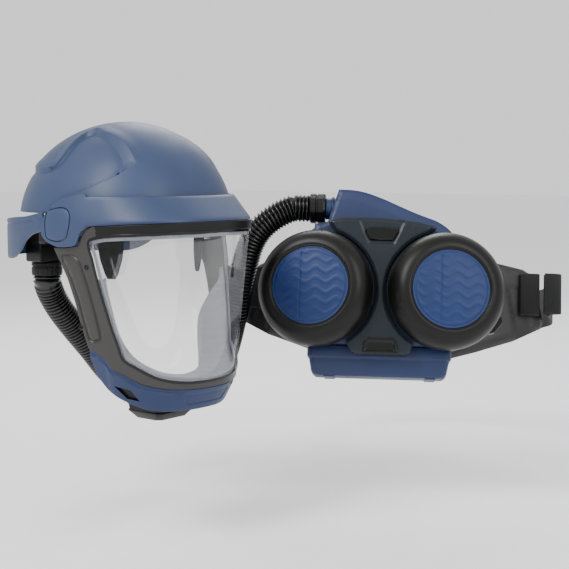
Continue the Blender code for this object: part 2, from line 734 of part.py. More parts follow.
def make_chin_tray():
    """The floor behind the chin guard and the valve housing below it."""
    level = -rows_of(CHIN_FOOT)[-1][1] * VISOR_DROP + 3 * MM
    edge = [chin_point(around, level, CHIN_WALL + GAP) for around in TRAY_TURNS]
    back = Vector((0.42 * edge[0].x, -0.16 * BRIM_FRONT, level))
    right = [back] + edge
    ring = right + [Vector((-point.x, point.y, point.z)) for point in reversed(right[:-1])]
    rings = [[point + Vector((0, 0, lift)) for point in ring] for lift in (0.0, TRAY_WALL)]
    loft("chin_tray", rings, BLACK)
    top = level - GAP
    wide, slim = 0.27 * SHELL_HALF_WIDTH, 0.21 * SHELL_HALF_WIDTH
    rings = []
    for drop, half_width, ahead, behind in ((0.0, wide, 0.52, 0.13), (0.55, wide, 0.51, 0.14),
                                            (1.0, slim, 0.46, 0.20)):
        front, back, z = -ahead * BRIM_FRONT, -behind * BRIM_FRONT, top - drop * VALVE_DROP
        rings.append([Vector((-half_width, front, z)), Vector((half_width, front, z)),
                      Vector((half_width, back, z)), Vector((-half_width, back, z))])
    loft("exhale_valve", rings, BLACK)


def make_rear_band():
    def line(table, size):
        return [(around, share * size) for around, share in rows_of(table)]

    top = line(REAR_BAND_TOP, REAR_BAND_RISE)
    foot = line(REAR_BAND_FOOT, -REAR_BAND_DROP)
    top += [(360 - around, height) for around, height in reversed(top[:-1])]
    foot += [(360 - around, height) for around, height in reversed(foot[:-1])]
    wall("rear_band", top + list(reversed(foot)), rear_band_point, 0.0, REAR_BAND_WALL, BLUE,
         spacing=7.0, squeeze=2 * MM)


def headband_level(around):
    share = 0.5 + 0.5 * math.cos(math.radians(around))
    return HEADBAND_REAR_LEVEL + share * (HEADBAND_FRONT_LEVEL - HEADBAND_REAR_LEVEL)


def make_harness():
    rings = []
    for around in range(0, 360, 10):
        outer = plan(around, HEADBAND_HALF_WIDTH, HEADBAND_FRONT, HEADBAND_REAR, 2.2)
        inner = outer * (1 - HEADBAND_WALL / outer.length)
        level, half = headband_level(around), HEADBAND_HEIGHT / 2
        rings.append([Vector((*outer, level + half)), Vector((*outer, level - half)),
                      Vector((*inner, level - half)), Vector((*inner, level + half))])
    loft("headband", rings, BLACK, closed=True)
    clip_spots = (48, 132, 228, 312)
    for number, around in enumerate(clip_spots, 1):
        level = max(headband_level(around) + 0.3 * HEADBAND_HEIGHT, RIM_REAR + 6 * MM)
        starts, ends = [], []
        for turn in (around - 5, around + 5):
            spot = plan(turn, HEADBAND_HALF_WIDTH, HEADBAND_FRONT, HEADBAND_REAR, 2.2)
            starts.append(spot * (1 + 1.5 * GAP / spot.length))
            flat = Vector((math.sin(math.radians(turn)), math.cos(math.radians(turn))))
            reach = shell_point(flat * down_angle(level + 4 * MM), CREST_RISE + SHELL_WALL).to_2d()
            ends.append(reach * (1 - 4 * GAP / reach.length))
        corners = starts + [ends[1], ends[0]]
        rings = [[Vector((*corner, level + lift)) for corner in corners] for lift in (-4 * MM, 4 * MM)]
        loft(f"harness_clip_{number}", rings, BLACK)
    make_crown_straps()


def make_crown_straps():
    """One strap from front to back over the head and one across it, just above."""
    space = CREST_RISE + SHELL_WALL + CROWN_SPACE
    for name, start, extra, side in (("crown_strap_long", 0, STRAP_WALL + 3 * GAP, Vector((1, 0, 0))),
                                     ("crown_strap_cross", 90, 0.0, Vector((0, 1, 0)))):
        depth = space + extra
        centres = []
        for around in (start, start + 180):
            foot = plan(around, HEADBAND_HALF_WIDTH, HEADBAND_FRONT, HEADBAND_REAR, 2.2)
            half = 0.5 * STRAP_WALL + GAP
            foot = foot * (1 + half / foot.length)
            level = headband_level(around)
            arc = [Vector((*foot, level - 0.3 * HEADBAND_HEIGHT)),
                   Vector((*foot, level + 0.5 * HEADBAND_HEIGHT + 2 * MM))]
            flat = Vector((math.sin(math.radians(around)), math.cos(math.radians(around))))
            arc += [shell_point(flat * down, depth) for down in (52, 38, 25, 14, 6)]
            centres += arc if around == start else list(reversed(arc))
            if around == start:
                centres.append(shell_point(Vector((0, 0)), depth))
        ribbon(name, centres, [side] * len(centres), STRAP_WIDTH, STRAP_WALL, FABRIC)


def make_duct():
    back = REAR_BAND_REACH - REAR_BAND_WALL
    edge = rear_band_point(180 - math.degrees(math.atan2(DUCT_HALF_WIDTH, back)), 0.0, REAR_BAND_WALL + GAP)
    rear = edge.y - GAP
    front = rear - DUCT_DEPTH
    ring = [(-DUCT_HALF_WIDTH, front), (DUCT_HALF_WIDTH, front), (DUCT_HALF_WIDTH, rear),
            (0.4 * DUCT_HALF_WIDTH, rear + 1.2 * MM), (-0.4 * DUCT_HALF_WIDTH, rear + 1.2 * MM),
            (-DUCT_HALF_WIDTH, rear)]
    duct = loft("air_duct", [[Vector((x, y, z)) for x, y in ring] for z in (DUCT_BOTTOM, DUCT_TOP)], BLACK)
    bevel = duct.modifiers.new("edge", "BEVEL")
    bevel.width = 3 * MM
    bevel.segments = 2
    bevel.limit_method = "ANGLE"
    centre = (0.0, rear - DUCT_DEPTH * 0.42)
    profile = [(0, 0), (COLLAR_RADIUS * 0.94, 0), (COLLAR_RADIUS, -1.5 * MM),
               (COLLAR_RADIUS, 3 * MM - COLLAR_LENGTH), (COLLAR_RADIUS * 0.96, -COLLAR_LENGTH),
               (0, -COLLAR_LENGTH)]
    collar = turned("duct_collar", profile, BLACK, steps=28)
    collar.location = (centre[0], centre[1], DUCT_BOTTOM - GAP)
    return Vector((centre[0], centre[1], DUCT_BOTTOM - GAP - COLLAR_LENGTH - GAP))


def make_temple_flaps():
    """Dark cloth flaps of the head harness at the temples."""
    for side, sign in (("right", -1), ("left", 1)):
        centres, widths = [], []
        for share, width in ((0.0, 1.0), (0.3, 0.95), (0.7, 0.72), (1.0, 0.34)):
            around = 58
            inset = HEADBAND_WALL + GAP + FLAP_WIDTH ** 2 / (6 * HEADBAND_HALF_WIDTH)
            spot = plan(around, HEADBAND_HALF_WIDTH - inset, HEADBAND_FRONT - inset, HEADBAND_REAR, 2.2)
            level = headband_level(around) - share * FLAP_DROP
            lean = 1 - 0.05 * share
            centres.append(Vector((sign * abs(spot.x) * lean, spot.y * lean, level)))
            widths.append(width * FLAP_WIDTH)
        tangent = Vector((sign * 0.42, 0.90, 0))
        rings = []
        for centre, width in zip(centres, widths):
            across = tangent.normalized() * width / 2
            out = Vector((0, 0, 1)).cross(tangent).normalized() * STRAP_WALL / 2
            rings.append([centre + across + out, centre - across + out, centre - across - out,
                          centre + across - out])
        loft(f"temple_flap_{side}", rings, FABRIC)


def fan_matrix():
    turn = Matrix.Rotation(math.radians(FAN_YAW), 4, "Z") @ Matrix.Rotation(math.radians(FAN_LEAN), 4, "X")
    return Matrix.Translation(FAN_PLACE) @ turn @ Matrix.Rotation(math.radians(FAN_ROLL), 4, "Y")


def outlet_end():
    """Where the hose leaves its connector, in the fan unit's frame."""
    side = OUTLET_SIDE - GAP - OUTLET_LENGTH - GAP - CONNECTOR_LENGTH - GAP
    return Vector((side, OUTLET_DEPTH, OUTLET_LEVEL))


def make_hose(start):
    place = fan_matrix()
    end = place @ outlet_end()
    before_end = place @ (outlet_end() + Vector((-18 * MM, 0, 0)))
    middle = [Vector(point) * MM for point in HOSE_ROUTE]
    route = [start, start + Vector((0.0, 0.0, -8 * MM))] + middle[1:] + [before_end, end]
    points = smooth_line(route, per_row=2)
    points[1] = route[0].lerp(route[1], 0.5)
    points[-2] = route[-1].lerp(route[-2], 0.5)
    curve = bpy.data.curves.new("hose", "CURVE")
    curve.dimensions = "3D"
    curve.bevel_depth = HOSE_RADIUS
    curve.bevel_resolution = 3
    curve.use_fill_caps = True
    spline = curve.splines.new("POLY")
    spline.points.add(len(points) - 1)
    for point, spot in zip(spline.points, points):
        point.co = (*spot, 1.0)
    curve.materials.append(RUBBER)
    hose = bpy.data.objects.new("hose", curve)
    PARTS.objects.link(hose)


def along_filter_axis(sign, height):
    """Point on a filter's axis, a height behind its front."""
    splay = math.radians(FILTER_SPLAY)
    across = sign * (FILTER_SPREAD - height * math.sin(splay))
    return Vector((across, height * math.cos(splay), FILTER_LEVEL))


def filter_turn(sign):
    """Local +Z of a turned piece points out of the filter's front."""
    return Matrix.Rotation(sign * math.radians(FILTER_SPLAY), 4, "Z") @ Matrix.Rotation(math.pi / 2, 4, "X")


def make_filters(fan):
    r, h, d = FILTER_RADIUS, FILTER_HEIGHT, DISC_RADIUS
    shoulder = [(0.5 * math.pi * step / 6) for step in range(7)]
    neck = d + 3 * MM
    dome = [(neck + (r - neck) * math.sin(a), h * (0.36 + 0.64 * math.cos(a))) for a in shoulder]
    profile = [(0, h - DISC_WALL - 2 * GAP), (d + GAP, h - DISC_WALL - 2 * GAP), (d + GAP, h - 0.8 * MM)]
    profile += dome + [(0.985 * r, 0.16 * h), (0.92 * r, 0.0), (0, 0)]
    bulge = [(0, h + 0.4 * MM), (0.5 * d, h), (0.9 * d, h - 0.9 * MM), (d, h - 1.6 * MM),
             (d, h - DISC_WALL - GAP), (0, h - DISC_WALL - GAP)]
    for side, sign in (("left", -1), ("right", 1)):
        place = Matrix.Translation(along_filter_axis(sign, h)) @ filter_turn(sign)
        ring = turned(f"filter_ring_{side}", profile, BLACK_SOFT, fan, steps=40)
        ring.matrix_local = place
        disc = turned(f"filter_disc_{side}", bulge, BLUE_DISC, fan, steps=36)
        disc.matrix_local = place


def make_fan_body(fan):
    centre_x = FILTER_SPREAD - BODY_FRONT * math.tan(math.radians(FILTER_SPLAY))
    wing = [(across * FILTER_SPREAD, up * WING_HEIGHT) for across, up in rows_of(WING_EDGE)]
    radius = SOCKET_RADIUS
    right = circle_arc((centre_x, FILTER_LEVEL), radius, 62, -88, 12)
    left = circle_arc((-centre_x, FILTER_LEVEL), radius, -92, -222, 12)
    under_hose = OUTLET_LEVEL - CONNECTOR_RADIUS - 3 * MM
    shoulder = [(-0.99 * FILTER_SPREAD, under_hose - 5 * MM), (-0.99 * FILTER_SPREAD, under_hose),
                (1.15 * OUTLET_SIDE, under_hose), (OUTLET_SIDE, OUTLET_LEVEL - OUTLET_RADIUS - 2 * MM)]
    outline = wing + right + left + shoulder
    body = plate("fan_body", list(reversed(outline)), BODY_FRONT, BODY_BACK, BLUE_DEEP, parent=fan)
    seat = FILTER_HEIGHT + GAP
    for side, sign in (("left", -1), ("right", 1)):
        bay = filter_cylinder(f"bay_{side}", fan, sign, FILTER_RADIUS + 4 * GAP,
                              -0.5 * FILTER_HEIGHT, seat + GAP)
        combine(body, bay, "DIFFERENCE")
    for side, sign in (("left", -1), ("right", 1)):
        socket = filter_cylinder(f"socket_{side}", fan, sign, radius, seat, BODY_BACK - 12 * MM)
        combine(body, socket, "UNION")


def filter_cylinder(name, fan, sign, radius, front, back):
    """A hidden cylinder on a filter's axis, between two heights behind the filter's front."""
    bpy.ops.mesh.primitive_cylinder_add(vertices=40, radius=radius, depth=back - front)
    made = bpy.context.object
    mesh = made.data
    bpy.data.objects.remove(made)
    cylinder = add_object(name, mesh, BLUE_DEEP, fan)
    middle = along_filter_axis(sign, (front + back) / 2)
    cylinder.matrix_local = Matrix.Translation(middle) @ filter_turn(sign)
    return hide_as_cutter(cylinder)


def panel_outline():
    """Black panel between the filters: wide at the top, a narrow waist, a foot below."""
    clear = FILTER_RADIUS + 2.5 * MM
    centre = (FILTER_SPREAD - 0.12 * FILTER_HEIGHT, FILTER_LEVEL)
    top = math.degrees(math.asin((0.79 * PANEL_TOP - centre[1]) / clear))
    foot = math.degrees(math.asin((0.81 * PANEL_FOOT + centre[1]) / clear))
    right = circle_arc(centre, clear, 180 - top, 180 + foot, 10)
    left = [(-x, z) for x, z in reversed(right)]
    crown = [(-0.78 * FILTER_SPREAD, 0.95 * PANEL_TOP), (-0.55 * FILTER_SPREAD, PANEL_TOP),
             (0.0, PANEL_TOP), (0.5 * FILTER_SPREAD, 0.96 * PANEL_TOP),
             (0.78 * FILTER_SPREAD, 0.89 * PANEL_TOP)]
    base = [(0.44 * FILTER_SPREAD, -PANEL_FOOT + 3 * MM), (0.38 * FILTER_SPREAD, -PANEL_FOOT),
            (-0.33 * FILTER_SPREAD, -PANEL_FOOT), (-0.40 * FILTER_SPREAD, -PANEL_FOOT + 3 * MM)]
    return crown + right + base + left


def button_outline(grow=0.0):
    top, foot = 18 * MM + grow, 12.5 * MM + grow
    high, low = 0.86 * PANEL_TOP + grow, 0.68 * PANEL_TOP - grow
    corner = high - 5 * MM
    return [(-top, high), (top, high), (top, corner), (foot, low), (-foot, low), (-top, corner)]


def make_panel(fan):
    panel = plate("centre_panel", list(reversed(panel_outline())), PANEL_FRONT, BODY_FRONT - GAP, BLACK,
                  parent=fan)
    pocket_floor = PANEL_FRONT + BUTTON_DEPTH - BUTTON_PROUD + BUTTON_TRAVEL + GAP
    pocket = plate("button_pocket", list(reversed(button_outline(GAP))), PANEL_FRONT - 5 * MM, pocket_floor,
                   BLACK, parent=fan)
    combine(panel, hide_as_cutter(pocket), "DIFFERENCE")
    pivot = bpy.data.objects.new("button_origin", None)
    PARTS.objects.link(pivot)
    pivot.parent = fan
    pivot.location = (0, PANEL_FRONT, 0.77 * PANEL_TOP)
    outline = [(x, z - 0.77 * PANEL_TOP) for x, z in reversed(button_outline())]
    plate("control_button", outline, -BUTTON_PROUD, BUTTON_DEPTH - BUTTON_PROUD, BLACK_GLOSS,
          rounding=1.0 * MM, parent=pivot)
    low = -PANEL_FOOT + 1 * MM
    latch = [(LATCH_MIDDLE + side * LATCH_WIDTH / 2, low + rise * LATCH_HEIGHT)
             for side, rise in ((-1, 0), (1, 0), (0.94, 0.75), (0.78, 1), (-0.78, 1), (-0.94, 0.75))]
    plate("battery_latch", latch, PANEL_FRONT - GAP - LATCH_WALL, PANEL_FRONT - GAP, BLACK,
          rounding=0.8 * MM, parent=fan)


def make_battery(fan):
    low = BATTERY_TOP - BATTERY_HEIGHT
    ledge = BATTERY_TOP - 0.38 * BATTERY_HEIGHT
    inset = BATTERY_LEDGE
    rings = []
    for level, narrow, set_back in ((BATTERY_TOP, 0.6 * inset, 0.0),
                                    (BATTERY_TOP - 3 * MM, 0.0, 0.0),
                                    (ledge, 0.0, 0.0),
                                    (ledge - 3 * MM, inset, 0.6 * inset),
                                    (low + 3 * MM, 1.2 * inset, 0.7 * inset),
                                    (low, 1.8 * inset, 1.4 * inset)):
        side, front, back = BATTERY_HALF_WIDTH - narrow, BODY_FRONT + set_back, BATTERY_BACK - set_back
        cut = 7 * MM
        rings.append([Vector(point) for point in (
            (-side + cut, front, level), (side - cut, front, level), (side, front + cut, level),
            (side, back - cut, level), (side - cut, back, level), (-side + cut, back, level),
            (-side, back - cut, level), (-side, front + cut, level))])
    loft("battery", rings, BLUE_DEEP, parent=fan)


def make_outlet(fan):
    collar = turned("outlet_collar", [(0, OUTLET_LENGTH), (OUTLET_RADIUS, OUTLET_LENGTH), (OUTLET_RADIUS, 0),
                                      (0, 0)], BLUE_DEEP, fan, steps=28)
    face = Matrix.Rotation(-math.pi / 2, 4, "Y")
    axis = Vector((0, OUTLET_DEPTH, OUTLET_LEVEL))
    collar.matrix_local = Matrix.Translation(axis + Vector((OUTLET_SIDE - GAP, 0, 0))) @ face
    r, l = CONNECTOR_RADIUS, CONNECTOR_LENGTH
    profile = [(0, l), (0.93 * r, l), (r, l - 1.5 * MM), (r, 2 * MM), (0.95 * r, 0), (0, 0)]
    connector = turned("hose_connector", profile, BLACK, fan, steps=28)
    start = OUTLET_SIDE - GAP - OUTLET_LENGTH - GAP
    connector.matrix_local = Matrix.Translation(axis + Vector((start, 0, 0))) @ face


def pad_depth(across):
    """How far back the belt pad's front face lies at a place across."""
    return BODY_BACK + GAP + PAD_BOW * ((across - BELT_MIDDLE) / PAD_HALF_WIDTH) ** 2


def make_belt(fan):
    def pad_point(across, up, depth):
        return Vector((across, pad_depth(across) + depth, up))

    def edge_point(across, up):
        return (across * PAD_HALF_WIDTH, up * (PAD_RISE if up > 0 else PAD_DROP))

    right = [edge_point(across, up) for across, up in rows_of(PAD_EDGE)]
    outline = [(BELT_MIDDLE + x, z) for x, z in both_sides(right)]
    wall("belt_pad", outline, pad_point, 0.0, PAD_WALL, BLACK, spacing=22 * MM, squeeze=1.0, parent=fan)
    make_webbing(fan)


def loop_point(turn):
    """Centre line of the waist loop behind the pad; 0 degrees is its right end, 180 its left."""
    start = pad_depth(BELT_MIDDLE + PAD_HALF_WIDTH) + PAD_WALL / 2
    bend = math.radians(turn)
    power = 2 / 2.3
    across = math.copysign(abs(math.cos(bend)) ** power, math.cos(bend))
    behind = start + LOOP_DEPTH * math.sin(bend) ** power
    return Vector((BELT_MIDDLE + LOOP_HALF_WIDTH * across, behind, WEB_LEVEL))


def make_webbing(fan):
    middle = loop_point(90)
    half = BUCKLE_LENGTH / 2 + GAP
    up = Vector((0, 0, 1))
    for side, sign in (("right", 1), ("left", -1)):
        keeper_out = BELT_MIDDLE + sign * (PAD_HALF_WIDTH + 2 * MM)
        keeper_in = BELT_MIDDLE + sign * (PAD_HALF_WIDTH - 28 * MM)
        front = min(pad_depth(keeper_in), pad_depth(keeper_out)) - GAP
        ahead = front - 2.5 * WEB_WALL
        corners = [Vector((keeper_in, ahead, 0)), Vector((keeper_out, ahead, 0)),
                   Vector((keeper_out, front, 0)), Vector((keeper_in, front, 0))]
        if sign < 0:
            corners.reverse()
        levels = [WEB_LEVEL - WEB_WIDTH / 2, WEB_LEVEL + WEB_WIDTH / 2]
        rings = [[corner + up * level for corner in corners] for level in levels]
        loft(f"web_fold_{side}", rings, WEBBING, parent=fan)
        lead = Vector((keeper_out + sign * (GAP + 0.55 * WEB_WALL), front - 1.25 * WEB_WALL, WEB_LEVEL))
        turns = [turn if sign > 0 else 180 - turn for turn in range(10, 90, 8)]
        spots = [lead] + [loop_point(turn) for turn in turns]
        spots = [spot for spot in spots if abs(spot.x - middle.x) > half + 6 * MM]
        spots.append(Vector((middle.x + sign * half, middle.y, WEB_LEVEL)))
        ribbon(f"belt_web_{side}", spots, [up] * len(spots), WEB_WIDTH, WEB_WALL, WEBBING, parent=fan)
    outline = [(x, z + WEB_LEVEL) for x, z in (
        (-0.5 * BUCKLE_LENGTH, -0.42 * BUCKLE_HEIGHT), (-0.2 * BUCKLE_LENGTH, -0.5 * BUCKLE_HEIGHT),
        (0.2 * BUCKLE_LENGTH, -0.5 * BUCKLE_HEIGHT), (0.5 * BUCKLE_LENGTH, -0.42 * BUCKLE_HEIGHT),
        (0.5 * BUCKLE_LENGTH, 0.42 * BUCKLE_HEIGHT), (0.2 * BUCKLE_LENGTH, 0.5 * BUCKLE_HEIGHT),
        (-0.2 * BUCKLE_LENGTH, 0.5 * BUCKLE_HEIGHT), (-0.5 * BUCKLE_LENGTH, 0.42 * BUCKLE_HEIGHT))]
    buckle = plate("belt_buckle", outline, middle.y - BUCKLE_WALL / 2, middle.y + BUCKLE_WALL / 2, BLACK,
                   rounding=2.5 * MM, parent=fan)
    buckle.location.x = middle.x


clear_scene()
PARTS = new_collection("powered_respirator_helmet")
CUTTERS = new_collection("cutters")

BLUE = new_material("shell_blue", (0.10, 0.17, 0.32), 0.45)
BLUE_DEEP = new_material("moulded_blue", (0.05, 0.10, 0.26), 0.42)
BLUE_DISC = new_material("disc_blue", (0.02, 0.07, 0.28), 0.35)
TAUPE = new_material("frame_taupe", (0.07, 0.065, 0.06), 0.5)
BLACK = new_material("black_plastic", (0.012, 0.012, 0.013), 0.4)
BLACK_SOFT = new_material("soft_black", (0.02, 0.018, 0.016), 0.55)
BLACK_GLOSS = new_material("gloss_black", (0.01, 0.01, 0.01), 0.2)
RUBBER = new_material("hose_rubber", (0.01, 0.01, 0.01), 0.3)
FABRIC = new_material("black_fabric", (0.012, 0.012, 0.014), 0.9)
WEBBING = new_material("webbing", (0.015, 0.015, 0.017), 0.85)
SEAL_GREY = new_material("seal_grey", (0.42, 0.42, 0.48), 0.7)
CLEAR = new_material("clear_pane", (0.95, 0.97, 1.0), 0.03, transmission=1.0)

make_shell()
make_brow_band()
make_pivots()
make_visor()
make_chin_guard()
make_face_seal()
make_chin_tray()
make_rear_band()
make_harness()
make_temple_flaps()
HOSE_START = make_duct()
make_hose(HOSE_START)

FAN = bpy.data.objects.new("fan_frame", None)
PARTS.objects.link(FAN)
FAN.matrix_world = fan_matrix()
make_fan_body(FAN)
make_panel(FAN)
make_battery(FAN)
make_filters(FAN)
make_outlet(FAN)
make_belt(FAN)
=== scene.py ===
import math

import bmesh
import bpy
import numpy as np
from mathutils import Matrix, Vector
from mathutils.geometry import delaunay_2d_cdt
from mathutils.kdtree import KDTree


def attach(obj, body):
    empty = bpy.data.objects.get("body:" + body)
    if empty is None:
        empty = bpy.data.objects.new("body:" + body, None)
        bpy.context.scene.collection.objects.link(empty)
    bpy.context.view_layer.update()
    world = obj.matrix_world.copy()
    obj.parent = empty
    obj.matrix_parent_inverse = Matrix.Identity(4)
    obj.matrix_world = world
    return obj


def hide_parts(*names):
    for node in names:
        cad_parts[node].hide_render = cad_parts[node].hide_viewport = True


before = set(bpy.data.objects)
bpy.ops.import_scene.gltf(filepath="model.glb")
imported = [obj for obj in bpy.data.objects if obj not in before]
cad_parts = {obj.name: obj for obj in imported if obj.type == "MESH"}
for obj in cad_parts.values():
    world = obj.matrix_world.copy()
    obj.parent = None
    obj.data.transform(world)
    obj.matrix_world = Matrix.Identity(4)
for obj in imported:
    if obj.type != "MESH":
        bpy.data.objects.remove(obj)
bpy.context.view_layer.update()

MM = 0.001
GAP = 0.4 * MM

# Camera
CAMERA_SPOT = (-0.9586, -0.9927, 0.0617)
CAMERA_AHEAD = (0.7732, 0.6273, -0.0932)
CAMERA_LENS = 80.67
FLOOR_LEVEL = -0.33
FLOOR_REACH = 14.0
SKY_STRENGTH = 1.1

# Helmet sizes, as in the part's source
SHELL_HALF_WIDTH = 104 * MM
SHELL_FRONT = 108 * MM
SHELL_REAR = 122 * MM
SHELL_HEIGHT = 108 * MM
PLAN_POWER = 2.35
SHELL_WALL = 2.8 * MM
CREST_RISE = 2.4 * MM
RIM_FRONT = 4 * MM
RIM_SIDE = -9 * MM
RIM_REAR = 13 * MM
BAND_TOP = 31 * MM
BAND_WALL = 3.0 * MM
BAND_TOP_FRONT_GAP = 3.4 * MM
BRIM_FRONT = 138.5 * MM
BRIM_OVERHANG = 3.0 * MM
BRIM_SIDE = -3.0 * MM
BRIM_ARCH = 9.2 * MM
LOBE_PROUD = 5.6 * MM
CAP_CROWN = 0.6 * MM
FRAME_WALL = 3.0 * MM
FRAME_INSET = 0.8 * MM
STRIP_HEIGHT = 10.3 * MM
VISOR_DROP = 168 * MM
VISOR_SIDE_TAPER = 13 * MM
VISOR_FRONT_TAPER = 18 * MM
PANE_WALL = 1.6 * MM
PANE_INSET = 1.2 * MM
CHIN_WALL = 3.0 * MM
CHIN_TUCK = 0.90
VALVE_DROP = 19 * MM
REAR_BAND_REACH = 150 * MM
REAR_BAND_WALL = 3.2 * MM
REAR_BAND_DROP = 38 * MM
REAR_BAND_RISE = 14 * MM
HEADBAND_HALF_WIDTH = 80 * MM
HEADBAND_FRONT = 90 * MM
HEADBAND_REAR = 108 * MM
HEADBAND_FRONT_LEVEL = 22 * MM
HEADBAND_REAR_LEVEL = -12 * MM
HEADBAND_HEIGHT = 28 * MM
HEADBAND_WALL = 2.4 * MM
FLAP_DROP = 68 * MM
FLAP_WIDTH = 34 * MM

# Hose and fan unit, as in the part's source
HOSE_RADIUS = 16 * MM
DUCT_BOTTOM = -47.5 * MM
COLLAR_LENGTH = 15.5 * MM
COLLAR_RADIUS = 17.5 * MM
DUCT_REAR = 146.2 * MM
DUCT_DEPTH = 26 * MM
FAN_PLACE = (190.2 * MM, -196.4 * MM, -69.5 * MM)
FAN_YAW = -55.4
FAN_LEAN = -14.0
FAN_ROLL = 1.1
FILTER_RADIUS = 66 * MM
FILTER_SPREAD = 78 * MM
FILTER_HEIGHT = 38.5 * MM
FILTER_SPLAY = 12.0
FILTER_LEVEL = -1.5 * MM
DISC_RADIUS = 43.5 * MM
DISC_WALL = 3.4 * MM
SOCKET_RADIUS = 61 * MM
BODY_FRONT = 42 * MM
BODY_BACK = 105 * MM
PANEL_FRONT = 22 * MM
PANEL_TOP = 80 * MM
PANEL_FOOT = 74 * MM
BUTTON_PROUD = 2.2 * MM
BUTTON_DEPTH = 6 * MM
BUTTON_TRAVEL = 1.5 * MM
LATCH_WALL = 3 * MM
LATCH_WIDTH = 39 * MM
LATCH_HEIGHT = 17 * MM
LATCH_MIDDLE = 1 * MM
BATTERY_TOP = -63.2 * MM
BATTERY_HEIGHT = 33.6 * MM
BATTERY_HALF_WIDTH = 81 * MM
BATTERY_BACK = 96 * MM
WING_HEIGHT = 117 * MM
OUTLET_RADIUS = 12.5 * MM
OUTLET_LENGTH = 14.5 * MM
OUTLET_LEVEL = 97 * MM
OUTLET_DEPTH = 60 * MM
OUTLET_SIDE = -51 * MM
CONNECTOR_RADIUS = 17.5 * MM
CONNECTOR_LENGTH = 18 * MM
BELT_MIDDLE = 12 * MM
PAD_HALF_WIDTH = 183 * MM
PAD_WALL = 9 * MM
PAD_BOW = 48 * MM
PAD_RISE = 55 * MM
PAD_DROP = 68 * MM
WEB_WIDTH = 50 * MM
WEB_WALL = 2.4 * MM
WEB_LEVEL = 14 * MM
LOOP_HALF_WIDTH = 204 * MM
LOOP_DEPTH = 262 * MM
BUCKLE_LENGTH = 62 * MM

# Sizes of the detail that only this script adds
RIB_PITCH = 4.3 * MM
RIB_DEPTH = 2.3 * MM
WAVE_RISE = 0.24 * MM
WAVE_PITCH = 11.5 * MM
EDGE_ROUND = 0.5 * MM
CREST_LIP = 1.3 * MM
FOOT_GROOVE = 0.9 * MM
RIM_EASE = 0.7 * MM
WALL_DEGREE = 2 * MM   # Metres of wall taken for one degree round
EVEN = (1.0, 1.0 / WALL_DEGREE)

CREST_EDGE = (
    (99.5, 84.5), (91.0, 77.0), (81.0, 73.6), (71.0, 70.6), (61.0, 65.9), (51.5, 61.6), (40.0, 54.8),
    (40.6, 50.5), (44.8, 42.3), (55.8, 32.8), (73.0, 27.6), (92.0, 23.0), (101.0, 27.0),
    (103.0, 34.0), (101.5, 44.0), (102.0, 52.5), (106.0, 56.2), (122.0, 57.0), (150.0, 57.6),
)
CREST_FOOT = (
    (101.5, 85.5), (92.5, 78.8), (82.5, 75.4), (72.2, 72.4), (62.4, 67.6), (52.8, 63.4), (47.4, 56.6),
    (48.6, 49.5), (54.6, 41.4), (68.0, 33.4), (81.0, 30.2), (94.0, 28.0), (104.0, 32.6),
    (106.6, 40.0), (106.0, 47.0), (107.0, 55.0), (111.0, 58.8), (124.0, 59.8), (150.0, 60.4),
)
LOBE_EDGE = (
    (66.8, 0.98), (68.8, 1.09), (73.0, 1.04), (78.0, 0.97), (83.5, 0.87), (88.0, 0.74), (92.0, 0.56),
    (95.2, 0.36), (97.4, 0.12), (98.2, -0.12), (97.4, -0.32), (94.4, -0.47), (90.4, -0.57),
    (85.0, -0.65), (80.0, -0.65), (74.6, -0.61), (72.2, -0.54), (70.8, -0.36), (69.0, -0.14),
)
CAP_EDGE = (
    (94.0, -0.28), (92.4, -0.39), (87.0, -0.46), (82.0, -0.43), (78.6, -0.32), (77.3, -0.12),
    (76.2, 0.16), (76.4, 0.40), (78.4, 0.55), (82.0, 0.61), (87.0, 0.58), (91.4, 0.52),
    (93.6, 0.42), (94.6, 0.10),
)
FRAME_REAR = (
    (70.0, 0.066), (72.0, 0.110), (81.5, 0.126), (90.3, 0.128), (85.4, 0.214), (80.6, 0.310),
    (76.3, 0.440), (73.4, 0.556), (70.4, 0.660), (68.4, 0.724),
)
CHIN_LINE = (
    (68.4, 0.724), (63.0, 0.750), (58.2, 0.784), (56.4, 0.820), (53.6, 0.848), (47.0, 0.881),
    (39.3, 0.928), (32.0, 0.952), (24.8, 0.968), (16.0, 0.976), (8.0, 0.980), (0.0, 0.981),
)
WINDOW_EDGE = (
    (60.5, 0.058), (64.2, 0.072), (65.4, 0.100), (64.8, 0.140), (63.6, 0.180), (61.8, 0.270),
    (59.6, 0.370), (56.6, 0.490), (53.5, 0.607), (50.6, 0.700), (49.2, 0.760), (46.8, 0.798),
    (40.3, 0.842), (32.1, 0.894), (23.9, 0.922), (15.3, 0.936), (8.0, 0.941), (0.0, 0.943),
)
SIDE_RIDGE = (
    (84.0, 0.176), (74.0, 0.176), (70.0, 0.250), (64.6, 0.440), (60.4, 0.640), (61.8, 0.672),
    (66.6, 0.676), (69.4, 0.600), (73.0, 0.450), (78.0, 0.300),
)
CHIN_FOOT = (
    (68.6, 0.800), (66.0, 0.890), (61.4, 0.961), (53.7, 1.020), (44.6, 1.064), (33.1, 1.104),
    (20.0, 1.118), (8.0, 1.121), (0.0, 1.121),
)
CHIN_VENT = (
    (53.6, 0.956), (44.2, 0.975), (39.2, 1.046), (46.2, 1.032),
)
REAR_BAND_TOP = (
    (101.0, 1.00), (108.0, 0.84), (118.0, 0.63), (129.0, 0.47), (148.0, 0.32), (165.0, 0.29), (180.0, 0.29),
)
REAR_BAND_FOOT = (
    (101.0, 0.14), (107.0, 0.20), (112.4, 0.27), (118.8, 0.45), (123.5, 0.68), (127.4, 0.81),
    (133.2, 0.94), (140.0, 1.00), (160.0, 1.00), (180.0, 1.00),
)
